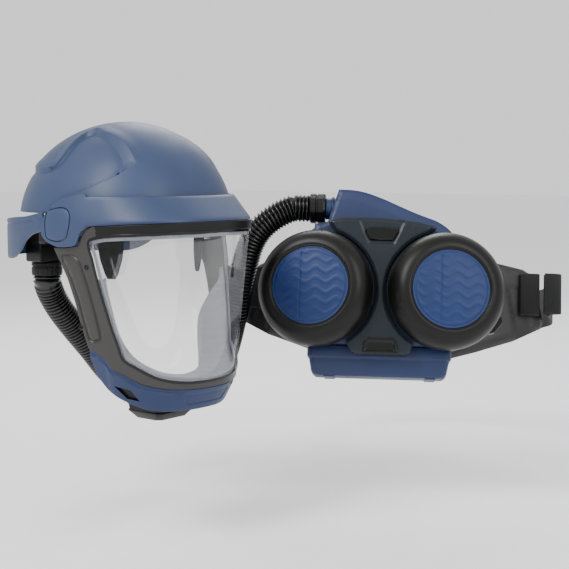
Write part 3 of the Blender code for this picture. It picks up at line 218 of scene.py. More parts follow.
SEAL_ROWS = (
    (63.0, 0.30, 0.820, 0.500, 0.30), (60.5, 0.37, 0.800, 0.500, 0.38), (58.0, 0.45, 0.700, 0.440, 0.48),
    (55.0, 0.56, 0.600, 0.400, 0.60), (51.5, 0.68, 0.540, 0.430, 0.71), (47.5, 0.79, 0.470, 0.500, 0.80),
    (41.0, 0.86, 0.380, 0.590, 0.86), (32.5, 0.92, 0.270, 0.680, 0.90), (20.0, 0.965, 0.150, 0.730, 0.92),
    (0.0, 0.985, 0.0, 0.740, 0.93),
)
HOSE_ROUTE = (
    (1, 136, -72), (9, 138.5, -86), (23, 140, -105), (44, 141, -128), (72, 140, -158),
    (97, 137, -187), (128, 132, -210), (160, 123, -221), (186, 103, -221), (194, 70, -207),
    (187, 33, -171), (176, 4, -114), (170, -15, -61), (172, -29, -24), (182, -46, -2),
)
WING_EDGE = (
    (-0.65, 1.000), (-0.45, 0.996), (-0.26, 0.975), (0.0, 0.915), (0.20, 0.858), (0.42, 0.795),
    (0.60, 0.749), (0.80, 0.700), (0.96, 0.630), (1.05, 0.560),
)
PAD_EDGE = (
    (0.0, 1.0), (0.35, 1.0), (0.68, 0.91), (0.86, 0.82), (0.92, 0.72), (0.955, 0.45),
    (1.0, -0.25), (0.985, -0.36), (0.80, -0.62), (0.55, -0.86), (0.38, -1.0), (0.0, -1.0),
)


def rgb(text):
    """Linear colour from a web colour."""
    parts = [int(text[index:index + 2], 16) / 255 for index in (1, 3, 5)]
    return [part / 12.92 if part <= 0.04045 else ((part + 0.055) / 1.055) ** 2.4 for part in parts]


# Materials

def finish(name, colour, roughness, grain=900.0, bump=0.12, uneven=0.10, speckle=None, weave=None,
           alpha=1.0, transmission=0.0, sheen=0.0, shine=0.5):
    """A procedural finish: fine grain in the surface, slow changes of tone and of gloss."""
    material = bpy.data.materials.new(name)
    material.use_nodes = True
    nodes, links = material.node_tree.nodes, material.node_tree.links
    shader = nodes["Principled BSDF"]
    place = nodes.new("ShaderNodeTexCoord").outputs["Object"]

    def texture(kind, **values):
        node = nodes.new("ShaderNodeTex" + kind)
        for key, value in values.items():
            node.inputs[key.capitalize()].default_value = value
        links.new(place, node.inputs["Vector"])
        return node

    def ramp(source, low, high, start, end):
        node = nodes.new("ShaderNodeMapRange")
        for key, value in (("From Min", low), ("From Max", high), ("To Min", start), ("To Max", end)):
            node.inputs[key].default_value = value
        links.new(source, node.inputs["Value"])
        return node.outputs["Result"]

    def mix():
        node = nodes.new("ShaderNodeMix")
        node.data_type = "RGBA"
        return node

    tone = texture("Noise", scale=22.0, detail=5.0).outputs["Fac"]
    tint = mix()
    tint.blend_type = "MULTIPLY"
    tint.inputs["Factor"].default_value = 1.0
    tint.inputs["A"].default_value = (*rgb(colour), 1.0)
    links.new(ramp(tone, 0.3, 0.7, 1.0 - uneven, 1.0 + uneven), tint.inputs["B"])
    colour_out = tint.outputs["Result"]
    if speckle:
        dots = texture("Voronoi", scale=1100.0).outputs["Distance"]
        fleck = mix()
        fleck.inputs["B"].default_value = (*rgb(speckle), 1.0)
        links.new(ramp(dots, 0.10, 0.28, 0.8, 0.0), fleck.inputs["Factor"])
        links.new(colour_out, fleck.inputs["A"])
        colour_out = fleck.outputs["Result"]
    links.new(colour_out, shader.inputs["Base Color"])
    gloss = ramp(tone, 0.3, 0.7, max(roughness - 0.06, 0.01), min(roughness + 0.06, 1.0))
    links.new(gloss, shader.inputs["Roughness"])
    height = texture("Noise", scale=grain, detail=3.0).outputs["Fac"]
    if weave:
        wave = texture("Wave", scale=weave, distortion=0.6, detail=2.0)
        wave.wave_type = "BANDS"
        wave.bands_direction = "Z"
        both = nodes.new("ShaderNodeMath")
        both.operation = "ADD"
        links.new(wave.outputs["Fac"], both.inputs[0])
        links.new(height, both.inputs[1])
        height = both.outputs["Value"]
    relief = nodes.new("ShaderNodeBump")
    relief.inputs["Strength"].default_value = bump
    relief.inputs["Distance"].default_value = 0.4 * MM
    links.new(height, relief.inputs["Height"])
    links.new(relief.outputs["Normal"], shader.inputs["Normal"])
    for key, value in (("Alpha", alpha), ("Transmission Weight", transmission), ("Sheen Weight", sheen),
                       ("IOR", 1.48), ("Specular IOR Level", shine)):
        shader.inputs[key].default_value = value
    return material


BLUE = finish("helmet_blue", "#233453", 0.50, bump=0.10)
BLUE_DEEP = finish("unit_blue", "#132449", 0.46, bump=0.22, shine=0.4)
# Darker blue for the brim's lower lip, which curls under: painted shade on the underside, on top of the
# modelled curl.
LIP_SHADE_BLUE = finish("lip_painted_shade", "#14214a", 0.40)
DISC_BLUE = finish("disc_blue", "#0b2350", 0.42, bump=0.05, shine=0.3)
TAUPE = finish("frame_grey", "#252322", 0.40, bump=0.16)
BLACK = finish("black_plastic", "#0c0c0d", 0.38, bump=0.25, shine=0.25)
RING_BLACK = finish("filter_black", "#0a0908", 0.38, bump=0.08, shine=0.25)
PANEL_BLACK = finish("panel_black", "#171e23", 0.34, bump=0.25, speckle="#3d4852", shine=0.25)
GLOSS = finish("gloss_black", "#090a0b", 0.18, bump=0.03, shine=0.3)
RUBBER = finish("hose_rubber", "#080809", 0.22, bump=0.08)
PAD = finish("pad_rubber", "#1a1a1b", 0.40, grain=1500.0, bump=0.22, shine=0.45)
WEB = finish("webbing", "#0e0e10", 0.80, grain=1200.0, bump=0.9, weave=420.0, sheen=0.1, shine=0.3)
CLOTH = finish("lining_cloth", "#0f0f11", 0.85, grain=1300.0, bump=0.8, weave=500.0, sheen=0.1, shine=0.3)
SEAL = finish("seal_cloth", "#8d9098", 0.75, grain=900.0, bump=0.5, weave=650.0, sheen=0.1)
CLEAR = finish("clear_pane", "#f4f6fa", 0.04, bump=0.0, uneven=0.0, alpha=0.12, transmission=1.0)


# Shapes in the plane and in space

def plan(around, half_width, front, rear, power=PLAN_POWER):
    side = np.sin(np.radians(around))
    ahead = np.cos(np.radians(around))
    length = np.where(ahead >= 0, front, rear)
    reach = (np.abs(side / half_width) ** power + np.abs(ahead / length) ** power) ** (-1 / power)
    return -reach * side, -reach * ahead


def smooth_step(low, high, value):
    share = np.clip((value - low) / (high - low), 0.0, 1.0)
    return share * share * (3 - 2 * share)


def brim_height(around):
    return BRIM_SIDE + BRIM_ARCH * np.cos(np.radians(around))


def shell_place(flat, depth):
    down = np.hypot(flat[:, 0], flat[:, 1])
    around = np.degrees(np.arctan2(flat[:, 0], flat[:, 1]))
    shrink = np.sin(np.radians(np.minimum(down, 90.0)))
    x, y = plan(around, SHELL_HALF_WIDTH - depth, SHELL_FRONT - depth, SHELL_REAR - depth)
    dome = (SHELL_HEIGHT - depth) * np.cos(np.radians(down))
    skirt = -SHELL_HEIGHT * np.radians(down - 90)
    return np.column_stack((x * shrink, y * shrink, np.where(down <= 90, dome, skirt)))


def shell_half_width(height):
    level = np.clip(height, 0.0, SHELL_HEIGHT) / SHELL_HEIGHT
    return SHELL_HALF_WIDTH * np.sqrt(1 - level * level)


def down_angle(height):
    if height < 0:
        return 90 - math.degrees(height / SHELL_HEIGHT)
    return math.degrees(math.acos(height / SHELL_HEIGHT))


def band_place(flat, depth):
    around, height = flat[:, 0], flat[:, 1]
    share = np.clip((BAND_TOP - height) / (BAND_TOP - brim_height(around)), 0.0, 1.0)
    level = math.sqrt(1 - (BAND_TOP / SHELL_HEIGHT) ** 2)
    top_side = SHELL_HALF_WIDTH * level + GAP + BAND_WALL
    top_front = SHELL_FRONT * level + BAND_TOP_FRONT_GAP + BAND_WALL
    side = top_side + share * (SHELL_HALF_WIDTH + BRIM_OVERHANG - top_side)
    front = top_front + share * (BRIM_FRONT - top_front)
    lobe = smooth_step(58, 76, np.abs(around))
    side = side + lobe * (shell_half_width(height) + LOBE_PROUD - side)
    x, y = plan(around, side - depth, front - depth, SHELL_REAR - depth)
    return np.column_stack((x, y, height))


def visor_place(flat, depth):
    around, height = flat[:, 0], flat[:, 1]
    share = (brim_height(around) - height) / VISOR_DROP
    taper = np.maximum(share, 0.0) ** 1.3 * VISOR_SIDE_TAPER
    side = SHELL_HALF_WIDTH + BRIM_OVERHANG - FRAME_INSET - taper
    front = BRIM_FRONT - FRAME_INSET - share * VISOR_FRONT_TAPER
    rear = SHELL_REAR - share * VISOR_SIDE_TAPER
    x, y = plan(around, side - depth, front - depth, rear - depth)
    return np.column_stack((x, y, height))


def chin_level(around):
    """Height of the line between the frame and the chin guard."""
    rows = np.array(sorted(CHIN_LINE))
    return -np.interp(np.abs(around), rows[:, 0], rows[:, 1]) * VISOR_DROP


def chin_place(flat, depth):
    around, height = flat[:, 0], flat[:, 1]
    top = chin_level(around)
    full = (CHIN_FOOT[-1][1] - CHIN_LINE[-1][1]) * VISOR_DROP
    shrink = 1 - (1 - CHIN_TUCK) * np.maximum(0.0, top - height) / full
    start = visor_place(np.column_stack((around, top)), depth)
    return np.column_stack((start[:, 0] * shrink, start[:, 1] * shrink, height))


def rear_band_place(flat, depth):
    side = SHELL_HALF_WIDTH + 0.5 * GAP
    x, y = plan(flat[:, 0], side - depth, SHELL_FRONT, REAR_BAND_REACH - depth, 2.2)
    return np.column_stack((x, y, flat[:, 1]))


def upright(flat, depth):
    return np.column_stack((flat[:, 0], depth, flat[:, 1]))


def inside(polygon, points):
    """Which of many points lie in a closed outline."""
    hit = np.zeros(len(points), bool)
    for (x0, y0), (x1, y1) in zip(polygon, np.roll(polygon, -1, axis=0)):
        if y0 == y1:
            continue
        spans = (y0 > points[:, 1]) != (y1 > points[:, 1])
        hit ^= spans & (points[:, 0] < x0 + (points[:, 1] - y0) / (y1 - y0) * (x1 - x0))
    return hit


def distance(points, line):
    """Shortest distance from many points to a line through a list of points."""
    best = np.full(len(points), np.inf)
    for a, b in zip(line[:-1], line[1:]):
        along = b - a
        share = np.clip(((points - a) @ along) / max(along @ along, 1e-12), 0, 1)
        best = np.minimum(best, np.hypot(*(points - a - share[:, None] * along).T))
    return best


def looped(outline):
    """An outline with its first point again at its end."""
    return np.vstack((outline, outline[:1]))


def depth_in(outline, points):
    """How far many points lie inside an outline; less than zero outside."""
    away = distance(points, looped(outline))
    return np.where(inside(outline, points), away, -away)


def resized(outline, size):
    """An outline scaled about the mean of its corners."""
    middle = np.mean(outline, axis=0)
    return middle + (np.array(outline) - middle) * size


def polar(around, down):
    """Flat point of the shell: degrees down from the crown, towards degrees round."""
    return down * math.sin(math.radians(around)), down * math.cos(math.radians(around))


def shell_spot(around, down, depth):
    return shell_place(np.array([polar(around, down)]), depth)[0]


def rounded(rows, per_row=4, closed=False):
    """A smooth line through given points."""
    points = [np.array(row, float) for row in rows]
    if closed:
        padded = [points[-1]] + points + [points[0], points[1]]
    else:
        padded = [2 * points[0] - points[1]] + points + [2 * points[-1] - points[-2]]
    result = []
    for before, here, there, after in zip(padded, padded[1:], padded[2:], padded[3:]):
        for step in range(per_row):
            t = step / per_row
            result.append(0.5 * (2 * here + (there - before) * t
                                 + (2 * before - 5 * here + 4 * there - after) * t * t
                                 + (3 * here - before - 3 * there + after) * t ** 3))
    if not closed:
        result.append(points[-1])
    return np.array(result)


def spread(line, spacing, closed):
    """Points along a line, no further apart than a spacing."""
    ends = np.roll(line, -1, axis=0) if closed else line[1:]
    result = []
    for a, b in zip(line, ends):
        count = max(1, math.ceil(np.hypot(*(b - a)) / spacing))
        result += [a + (b - a) * step / count for step in range(count)]
    if not closed:
        result.append(line[-1])
    return np.array(result)


def beside(line, offset):
    """A line moved sideways."""
    ahead = np.gradient(line, axis=0)
    length = np.maximum(np.hypot(ahead[:, 0], ahead[:, 1]), 1e-9)
    return line + offset * np.column_stack((-ahead[:, 1], ahead[:, 0])) / length[:, None]


def both_sides(right):
    """A closed outline from its right half, whose ends lie at the front or the back."""
    right = np.array(right, float)
    left = right[::-1] * (-1, 1)
    joined = list(right)
    for point in left:
        if np.abs(point - joined[-1]).sum() > 1e-9:
            joined.append(point)
    if np.abs(joined[0] - joined[-1]).sum() < 1e-9:
        joined.pop()
    return np.array(joined)


def mirrored(outline):
    return np.array(outline)[::-1] * (-1, 1)


def dropped(table):
    """Rows of degrees around and shares of the visor's drop, as degrees and heights."""
    return [(around, -drop * VISOR_DROP) for around, drop in table]


def at_band(table):
    return [(around, share * BAND_TOP) for around, share in table]


def add(name, mesh, materials, body, replaces=(), edge=0.0, segments=2, angle=40):
    """Puts a piece into the scene, riding on a body of the frame."""
    mesh.name = name
    obj = bpy.data.objects.new(name, mesh)
    bpy.context.scene.collection.objects.link(obj)
    for material in materials if isinstance(materials, (list, tuple)) else [materials]:
        mesh.materials.append(material)
    if edge:
        bevel = obj.modifiers.new("edge", "BEVEL")
        bevel.width = edge
        bevel.segments = segments
        bevel.limit_method = "ANGLE"
        bevel.angle_limit = math.radians(angle)
        bevel.use_clamp_overlap = False
    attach(obj, body)
    if replaces:
        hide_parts(*replaces)
    return obj


def mesh_from(points, faces, sharp=38, move=None):
    mesh = bpy.data.meshes.new("piece")
    mesh.from_pydata([tuple(point) for point in points], [], [tuple(face) for face in faces])
    shape = bmesh.new()
    shape.from_mesh(mesh)
    bmesh.ops.recalc_face_normals(shape, faces=shape.faces)
    if move is not None:
        shape.transform(move)
    shape.to_mesh(mesh)
    shape.free()
    mesh.shade_smooth()
    mesh.set_sharp_from_angle(angle=math.radians(sharp))
    return mesh


def paint(mesh, chosen):
    """Gives the second material to the faces chosen by their degrees round and height."""
    for face in mesh.polygons:
        x, y, z = face.center
        if chosen(abs(math.degrees(math.atan2(-x, -y))), z):
            face.material_index = 1


def wall_mesh(outline, place, outer, inner, spacing, squeeze=1.0, holes=(), lines=(), sharp=38,
              move=None):
    """A curved wall over a flat outline: place() bends flat points to a surface at a depth."""
    scale = np.array((1.0, 1.0 / squeeze))
    loops = [spread(np.array(loop, float) * scale, spacing, True) for loop in (outline, *holes)]
    threads = [spread(np.array(line, float) * scale, spacing, False) for line in lines]
    corners, edges = [], []
    for loop in loops:
        start = len(corners)
        corners += list(loop)
        edges += [(start + step, start + (step + 1) % len(loop)) for step in range(len(loop))]
    for thread in threads:
        start = len(corners)
        corners += list(thread)
        edges += [(start + step, start + step + 1) for step in range(len(thread) - 1)]
    low, high = loops[0].min(axis=0), loops[0].max(axis=0)
    rows = max(1, round((high[1] - low[1]) / (spacing * 0.866)))
    columns = max(1, round((high[0] - low[0]) / spacing))
    step_x, step_y = (high - low) / (columns, rows)
    grid = np.array([(low[0] + (column + 0.5 * (row % 2)) * step_x, low[1] + row * step_y)
                     for row in range(1, rows) for column in range(columns + 1)]).reshape(-1, 2)
    keep = inside(loops[0], grid)
    for hole in loops[1:]:
        keep &= ~inside(hole, grid)
    tree = KDTree(len(corners))
    for index, corner in enumerate(corners):
        tree.insert((*corner, 0.0), index)
    tree.balance()
    for point in grid[keep]:
        if tree.find((*point, 0.0))[2] > 0.62 * spacing:
            corners.append(point)
    made, _, triangles, *_ = delaunay_2d_cdt([Vector(corner) for corner in corners], edges, [], 0, 1e-6)
    made = np.array([tuple(point) for point in made])
    triangles = np.array([tuple(triangle) for triangle in triangles])
    middles = made[triangles].mean(axis=1)
    keep = inside(loops[0], middles)
    for hole in loops[1:]:
        keep &= ~inside(hole, middles)
    triangles = triangles[keep]
    used, flat_index = np.unique(triangles, return_inverse=True)
    triangles = flat_index.reshape(-1, 3)
    flat = made[used] * (1.0, squeeze)
    count = len(flat)
    depth = outer(flat) if callable(outer) else np.full(count, float(outer))
    under = inner(flat) if callable(inner) else np.full(count, float(inner))
    points = np.vstack((place(flat, depth), place(flat, under)))
    faces = [tuple(triangle) for triangle in triangles]
    seen = set()
    for a, b, c in faces:
        seen.update(((a, b), (b, c), (c, a)))
    sides = [(b, a, a + count, b + count) for a, b in seen if (b, a) not in seen]
    faces += [(c + count, b + count, a + count) for a, b, c in list(faces)] + sides
    return mesh_from(points, faces, sharp, move)


def loft_mesh(rings, closed=False, sharp=38, move=None):
    """A solid through rings of as many points each, capped or joined end to end."""
    size = len(rings[0])
    points = np.vstack(rings)
    faces = []
    for step in range(len(rings) if closed else len(rings) - 1):
        here, there = step * size, (step + 1) % len(rings) * size
        for index in range(size):
            after = (index + 1) % size
            faces.append((here + index, here + after, there + after, there + index))
    if not closed:
        faces.append(tuple(range(size)))
        faces.append(tuple(len(points) - size + index for index in range(size)))
    return mesh_from(points, faces, sharp, move)


def turned_mesh(profile, move=None, steps=96, sharp=30, shape=None):
    """A solid turned about local Z from (radius, height) points; the ends may lie on the axis."""
    rings = []
    turn = np.linspace(0, 2 * math.pi, steps, endpoint=False)
    for radius, height in profile:
        reach = max(radius, 0.01 * MM) * (shape(turn) if shape else 1.0)
        rings.append(np.column_stack((reach * np.cos(turn), reach * np.sin(turn), np.full(steps, height))))
    return loft_mesh(rings, sharp=sharp, move=move)


def plate_mesh(outline, front, back):
    """A flat outline on the fan unit, made thick from its front to its back."""
    return wall_mesh(outline, upright, front, back, 50 * MM, move=FAN)


def joined(meshes):
    """One mesh of several."""
    shape = bmesh.new()
    for mesh in meshes:
        shape.from_mesh(mesh)
    result = bpy.data.meshes.new("piece")
    shape.to_mesh(result)
    shape.free()
    return result


def cut(mesh, *tools):
    """A mesh less some others."""
    blank = bpy.data.objects.new("blank", mesh)
    bpy.context.scene.collection.objects.link(blank)
    cutters = []
    for tool in tools:
        cutter = bpy.data.objects.new("cutter", tool)
        bpy.context.scene.collection.objects.link(cutter)
        cutters.append(cutter)
        boolean = blank.modifiers.new("cut", "BOOLEAN")
        boolean.operation = "DIFFERENCE"
        boolean.solver = "EXACT"
        boolean.object = cutter
    bpy.context.view_layer.update()
    result = bpy.data.meshes.new_from_object(blank.evaluated_get(bpy.context.evaluated_depsgraph_get()))
    for obj in (blank, *cutters):
        bpy.data.objects.remove(obj)
    result.shade_smooth()
    result.set_sharp_from_angle(angle=math.radians(38))
    return result


def ribbon_mesh(centres, across, width, wall, move=None):
    """A strap along a line: across is the direction of its width."""
    centres = np.array(centres, float)
    across = np.array(across, float)
    ahead = np.gradient(centres, axis=0)
    ahead /= np.linalg.norm(ahead, axis=1)[:, None]
    rings = []
    for centre, direction in zip(centres, ahead):
        wide = across - direction * (across @ direction)
        wide /= np.linalg.norm(wide)
        out = np.cross(direction, wide)
        w, t = width / 2, wall / 2
        c = 0.45 * wall
        shape = ((-w + c, -t), (w - c, -t), (w, -t + 0.7 * c), (w, t - 0.7 * c), (w - c, t), (-w + c, t),
                 (-w, t - 0.7 * c), (-w, -t + 0.7 * c))
        rings.append([centre + wide * x + out * y for x, y in shape])
    return loft_mesh(rings, sharp=60, move=move)


def resampled(points, lengths, spots):
    """Points along a line at chosen lengths."""
    return np.column_stack([np.interp(spots, lengths, points[:, axis]) for axis in range(3)])


def lengths_along(line):
    return np.concatenate(([0.0], np.cumsum(np.linalg.norm(np.diff(line, axis=0), axis=1))))


def rotation(degrees, axis):
    return Matrix.Rotation(math.radians(degrees), 4, axis)


def arc(centre, radius, start, end, step=4.0):
    count = max(2, math.ceil(abs(end - start) / step))
    turn = np.radians(np.linspace(start, end, count + 1))
    return [(centre[0] + radius * math.cos(a), centre[1] + radius * math.sin(a)) for a in turn]


# Camera, light and floor

def make_camera():
    data = bpy.data.cameras.new("camera")
    data.lens = CAMERA_LENS
    data.sensor_width = 36.0
    data.clip_start = 0.05
    data.clip_end = 30.0
    camera = bpy.data.objects.new("camera", data)
    bpy.context.scene.collection.objects.link(camera)
    camera.location = CAMERA_SPOT
    camera.rotation_mode = "QUATERNION"
    camera.rotation_quaternion = Vector(CAMERA_AHEAD).to_track_quat("-Z", "Y")
    bpy.context.scene.camera = camera


def add_light(name, spot, target, size, power):
    data = bpy.data.lights.new(name, "AREA")
    data.shape = "RECTANGLE"
    data.size, data.size_y = size
    data.energy = power
    light = bpy.data.objects.new(name, data)
    bpy.context.scene.collection.objects.link(light)
    light.location = spot
    light.rotation_mode = "QUATERNION"
    light.rotation_quaternion = (Vector(target) - Vector(spot)).to_track_quat("-Z", "Y")


def make_studio():
    world = bpy.data.worlds.new("studio")
    world.use_nodes = True
    background = world.node_tree.nodes["Background"]
    background.inputs["Color"].default_value = (1.0, 1.0, 1.0, 1.0)
    background.inputs["Strength"].default_value = SKY_STRENGTH
    bpy.context.scene.world = world
    add_light("key", (-1.6, 0.0, 1.6), (0.0, -0.05, 0.0), (0.7, 0.9), 50.0)
    add_light("fill", (-0.3, -2.0, 1.1), (0.15, -0.1, -0.05), (0.8, 1.4), 20.0)
    add_light("rim", (1.4, 0.9, 1.3), (0.15, -0.1, 0.0), (1.0, 1.0), 20.0)
    corners = [(x * FLOOR_REACH, y * FLOOR_REACH, FLOOR_LEVEL)
               for x, y in ((-1, -1), (1, -1), (1, 1), (-1, 1))]
    mesh = bpy.data.meshes.new("floor")
    mesh.from_pydata(corners, [], [(0, 1, 2, 3)])
    floor = bpy.data.objects.new("floor", mesh)
    bpy.context.scene.collection.objects.link(floor)
    mesh.materials.append(finish("floor_white", "#f4f4f5", 0.6, bump=0.02, uneven=0.01))


# Breathing hose

FAN = (Matrix.Translation(FAN_PLACE) @ rotation(FAN_YAW, "Z") @ rotation(FAN_LEAN, "X")
       @ rotation(FAN_ROLL, "Y"))


def hose_line():
    collar_y = DUCT_REAR - GAP - DUCT_DEPTH * 0.42
    start = np.array((0.0, collar_y, DUCT_BOTTOM - 2 * GAP - COLLAR_LENGTH))
    side = OUTLET_SIDE - 3 * GAP - OUTLET_LENGTH - CONNECTOR_LENGTH
    end = FAN @ Vector((side, OUTLET_DEPTH, OUTLET_LEVEL))
    before_end = FAN @ Vector((side - 18 * MM, OUTLET_DEPTH, OUTLET_LEVEL))
    middle = [np.array(point) * MM for point in HOSE_ROUTE]
    route = [start, start + (0, 0, -8 * MM)] + middle[1:] + [np.array(before_end), np.array(end)]
    line = rounded(route, per_row=12)
    line[:13] = np.linspace(route[0], route[1], 13)
    line[-13:] = np.linspace(route[-2], route[-1], 13)
    return line, lengths_along(line)


def make_hose():
    line, steps = hose_line()
    length = steps[-1]
    ribs = round((length - 2 * RIB_PITCH) / RIB_PITCH)
    per_rib = 7
    count = ribs * per_rib + 1
    spots = np.linspace(0, length, count)
    centres = resampled(line, steps, spots)
    ahead = np.gradient(centres, axis=0)
    for _ in range(3):
        ahead[1:-1] = (ahead[:-2] + 2 * ahead[1:-1] + ahead[2:]) / 4
    ahead /= np.linalg.norm(ahead, axis=1)[:, None]
    side = np.cross(ahead[0], (1.0, 0.0, 0.0))
    turn = np.linspace(0, 2 * math.pi, 36, endpoint=False)
    rings = []
    for index in range(count):
        side = side - ahead[index] * (side @ ahead[index])
        side /= np.linalg.norm(side)
        up = np.cross(ahead[index], side)
        phase = index / per_rib
        crest = 0.5 - 0.5 * math.cos(2 * math.pi * phase)
        radius = HOSE_RADIUS - RIB_DEPTH * (1 - crest ** 0.6)
        rings.append(centres[index] + radius * (np.outer(np.cos(turn), side) + np.outer(np.sin(turn), up)))
    mesh = loft_mesh(rings, sharp=80)
    hose = add("breathing_hose", mesh, RUBBER, "helmet", ("hose",))
    path = [tuple(point) for point in centres[::4]]
    if tuple(centres[-1]) != path[-1]:
        path.append(tuple(centres[-1]))


# Helmet shell

def crest_depth(edge, foot, raised, below):
    """Depth of the shell's face: the crest stands up at its edge and falls in a clean slope to its foot."""
    def depth(flat):
        near_edge = distance(flat, edge)
        near_foot = distance(flat, foot)
        down = np.hypot(flat[:, 0], flat[:, 1])
        lip = CREST_LIP * (1 - smooth_step(50, 60, down))
        share = near_edge / np.maximum(near_edge + near_foot, 1e-9)
        slope = share * (CREST_RISE + lip) - lip
        field = np.where(inside(below, flat) & (near_foot > 0.02), slope, CREST_RISE)
        field = field + FOOT_GROOVE * (1 - smooth_step(0.0, 4.0, near_foot))
        crest = -lip * (1 - smooth_step(0.0, 7.0, near_edge))
        face = np.where(inside(raised, flat) | (near_edge < 0.02), crest, field)
        return face + RIM_EASE * smooth_step(91.5, 93.0, down)
    return depth


def make_shell():
    def rim(around):
        turn = abs(around)
        height = RIM_FRONT + (RIM_SIDE - RIM_FRONT) * smooth_step(65, 72, turn)
        return float(height) + (RIM_REAR - RIM_SIDE) * (1.0 if turn > 100.6 else 0.0)

    def step_line(table):
        right = rounded([polar(*row) for row in table], 4)
        return np.vstack((right, right[::-1] * (-1, 1)))

    edge, foot = step_line(CREST_EDGE), step_line(CREST_FOOT)
    border = [polar(around, down_angle(rim(around))) for around in range(-100, 101, 4)]
    border += [polar(100.5, down_angle(RIM_SIDE)), polar(100.7, down_angle(RIM_REAR))]
    border += [polar(around, down_angle(RIM_REAR)) for around in range(104, 257, 4)]
    border += [polar(-100.7, down_angle(RIM_REAR)), polar(-100.5, down_angle(RIM_SIDE))]
    front = np.array(border[:51])
    raised = np.vstack((edge, front))
    below = np.vstack((foot, front))
    lines = [edge, foot] + [beside(line, offset) for line in (edge, foot) for offset in (0.45, -0.45)]
    mesh = wall_mesh(border, shell_place, crest_depth(edge, foot, raised, below),
                     CREST_RISE + SHELL_WALL, 1.9, lines=lines, sharp=9)
    add("helmet_dome", mesh, BLUE, "helmet", ("helmet_shell",), edge=EDGE_ROUND, angle=60)


def band_outline():
    lobe = rounded(at_band(LOBE_EDGE), 3)
    top = [(around, BAND_TOP) for around in range(0, 66, 4)]
    brim = [(around, float(brim_height(around))) for around in range(66, -1, -3)]
    return both_sides([*top, *map(tuple, lobe), *brim])


def cap_outline(grow=1.0):
    return resized(rounded(at_band(CAP_EDGE), 3, closed=True), grow)


def make_brow_band():
    socket = cap_outline(1.05)
    lip = 3.2 * MM
    crease = 2.2 * MM

    def relief(flat):
        around, height = np.abs(flat[:, 0]), flat[:, 1]
        low = smooth_step(0, lip, brim_height(around) + lip - height) * (around < 66)
        top = smooth_step(0, crease, height - BAND_TOP + crease) * (around < 66)
        return 1.3 * MM * low + 0.5 * MM * top

    across = np.arange(-66, 67, 3.0)
    lines = [np.column_stack((across, brim_height(across) + share * lip)) for share in (0.35, 0.7, 1.0)]
    lines.append(np.column_stack((across, np.full(len(across), BAND_TOP - crease))))
    mesh = wall_mesh(band_outline(), band_place, relief, BAND_WALL, 1.3, WALL_DEGREE,
                     holes=(socket, mirrored(socket)), lines=lines, sharp=45)
    add("brow_carrier", mesh, [BLUE, LIP_SHADE_BLUE], "visor", ("brow_band",),
        edge=0.6 * MM, angle=50)
    # Painted shade: the faces of the brim's curled-under lower lip take the darker blue.
    paint(mesh, lambda around, z: around < 66 and z < brim_height(around) + 1.7 * MM)
    for side, outline in (("right", cap_outline()), ("left", mirrored(cap_outline()))):
        crown_edge = resized(outline, 0.86)

        def crown(flat, edge=crown_edge):
            return 1.0 * MM * smooth_step(0, 0.8, -depth_in(edge * EVEN, flat * EVEN)) - CAP_CROWN

        cap = wall_mesh(outline, band_place, crown, BAND_WALL, 1.0, WALL_DEGREE,
                        lines=(looped(crown_edge),))
        add(f"hinge_cap_{side}", cap, BLUE, "visor", (f"pivot_cap_{side}",), edge=0.5 * MM,
            angle=50)


# Visor

def window_line():
    top = [(around, float(brim_height(around)) - STRIP_HEIGHT) for around in range(0, 57, 4)]
    sides = rounded(dropped(WINDOW_EDGE), 3)
    return both_sides(top + list(map(tuple, sides)))


def grown(outline, amount):
    """An outline moved outward, in millimetres on the visor's wall."""
    loop = outline * EVEN
    ahead = np.roll(loop, -1, axis=0) - np.roll(loop, 1, axis=0)
    length = np.maximum(np.hypot(*ahead.T), 1e-9)
    out = np.column_stack((ahead[:, 1], -ahead[:, 0])) / length[:, None]
    area = 0.5 * np.sum(loop[:, 0] * np.roll(loop[:, 1], -1) - np.roll(loop[:, 0], -1) * loop[:, 1])
    return (loop + out * math.copysign(1.0, area) * amount / 2.0) / EVEN


def make_visor_frame():
    top = [(around, float(brim_height(around)) - GAP) for around in range(0, 66, 3)]
    rear = dropped(FRAME_REAR)
    foot = dropped(CHIN_LINE)[1:]
    step = [(66.4, float(brim_height(66.4)) - 3 * MM)]
    window = window_line()
    ridge = rounded(dropped(SIDE_RIDGE), 3, closed=True)
    ridges = (ridge, mirrored(ridge))

    def relief(flat):
        depth = np.zeros(len(flat))
        for loop in ridges:
            away = depth_in(loop * EVEN, flat * EVEN)
            groove = 1 - smooth_step(0.25, 0.75, np.abs(away))
            depth += 1.3 * MM * groove - 0.6 * MM * smooth_step(0.5, 1.4, away)
        return depth

    lines = [looped(loop) for loop in ridges]
    lines += [looped(grown(loop, off)) for loop in ridges for off in (-1.5, -0.7, 0.7, 1.5)]
    mesh = wall_mesh(both_sides(top + step + rear + foot), visor_place, relief, FRAME_WALL,
                     1.3, WALL_DEGREE, holes=(window,), lines=lines, sharp=45)
    add("visor_carrier", mesh, [TAUPE, BLACK], "visor", ("visor_frame",),
        edge=0.5 * MM, angle=50)
    strip_foot = STRIP_HEIGHT + 1.5 * MM
    paint(mesh, lambda around, z: around < 61 and z > brim_height(around) - strip_foot)
    make_gasket(window)
    make_reveal(window)
    make_frame_screws()


def make_gasket(window):
    """Glossy black sealing strip round the window's edge."""
    mesh = wall_mesh(grown(window, 1.2), visor_place, -0.5 * MM, PANE_INSET - 0.25 * MM,
                     1.3, WALL_DEGREE, holes=(grown(window, -1.7),), sharp=45)
    add("window_gasket", mesh, GLOSS, "visor", edge=0.35 * MM, angle=50)


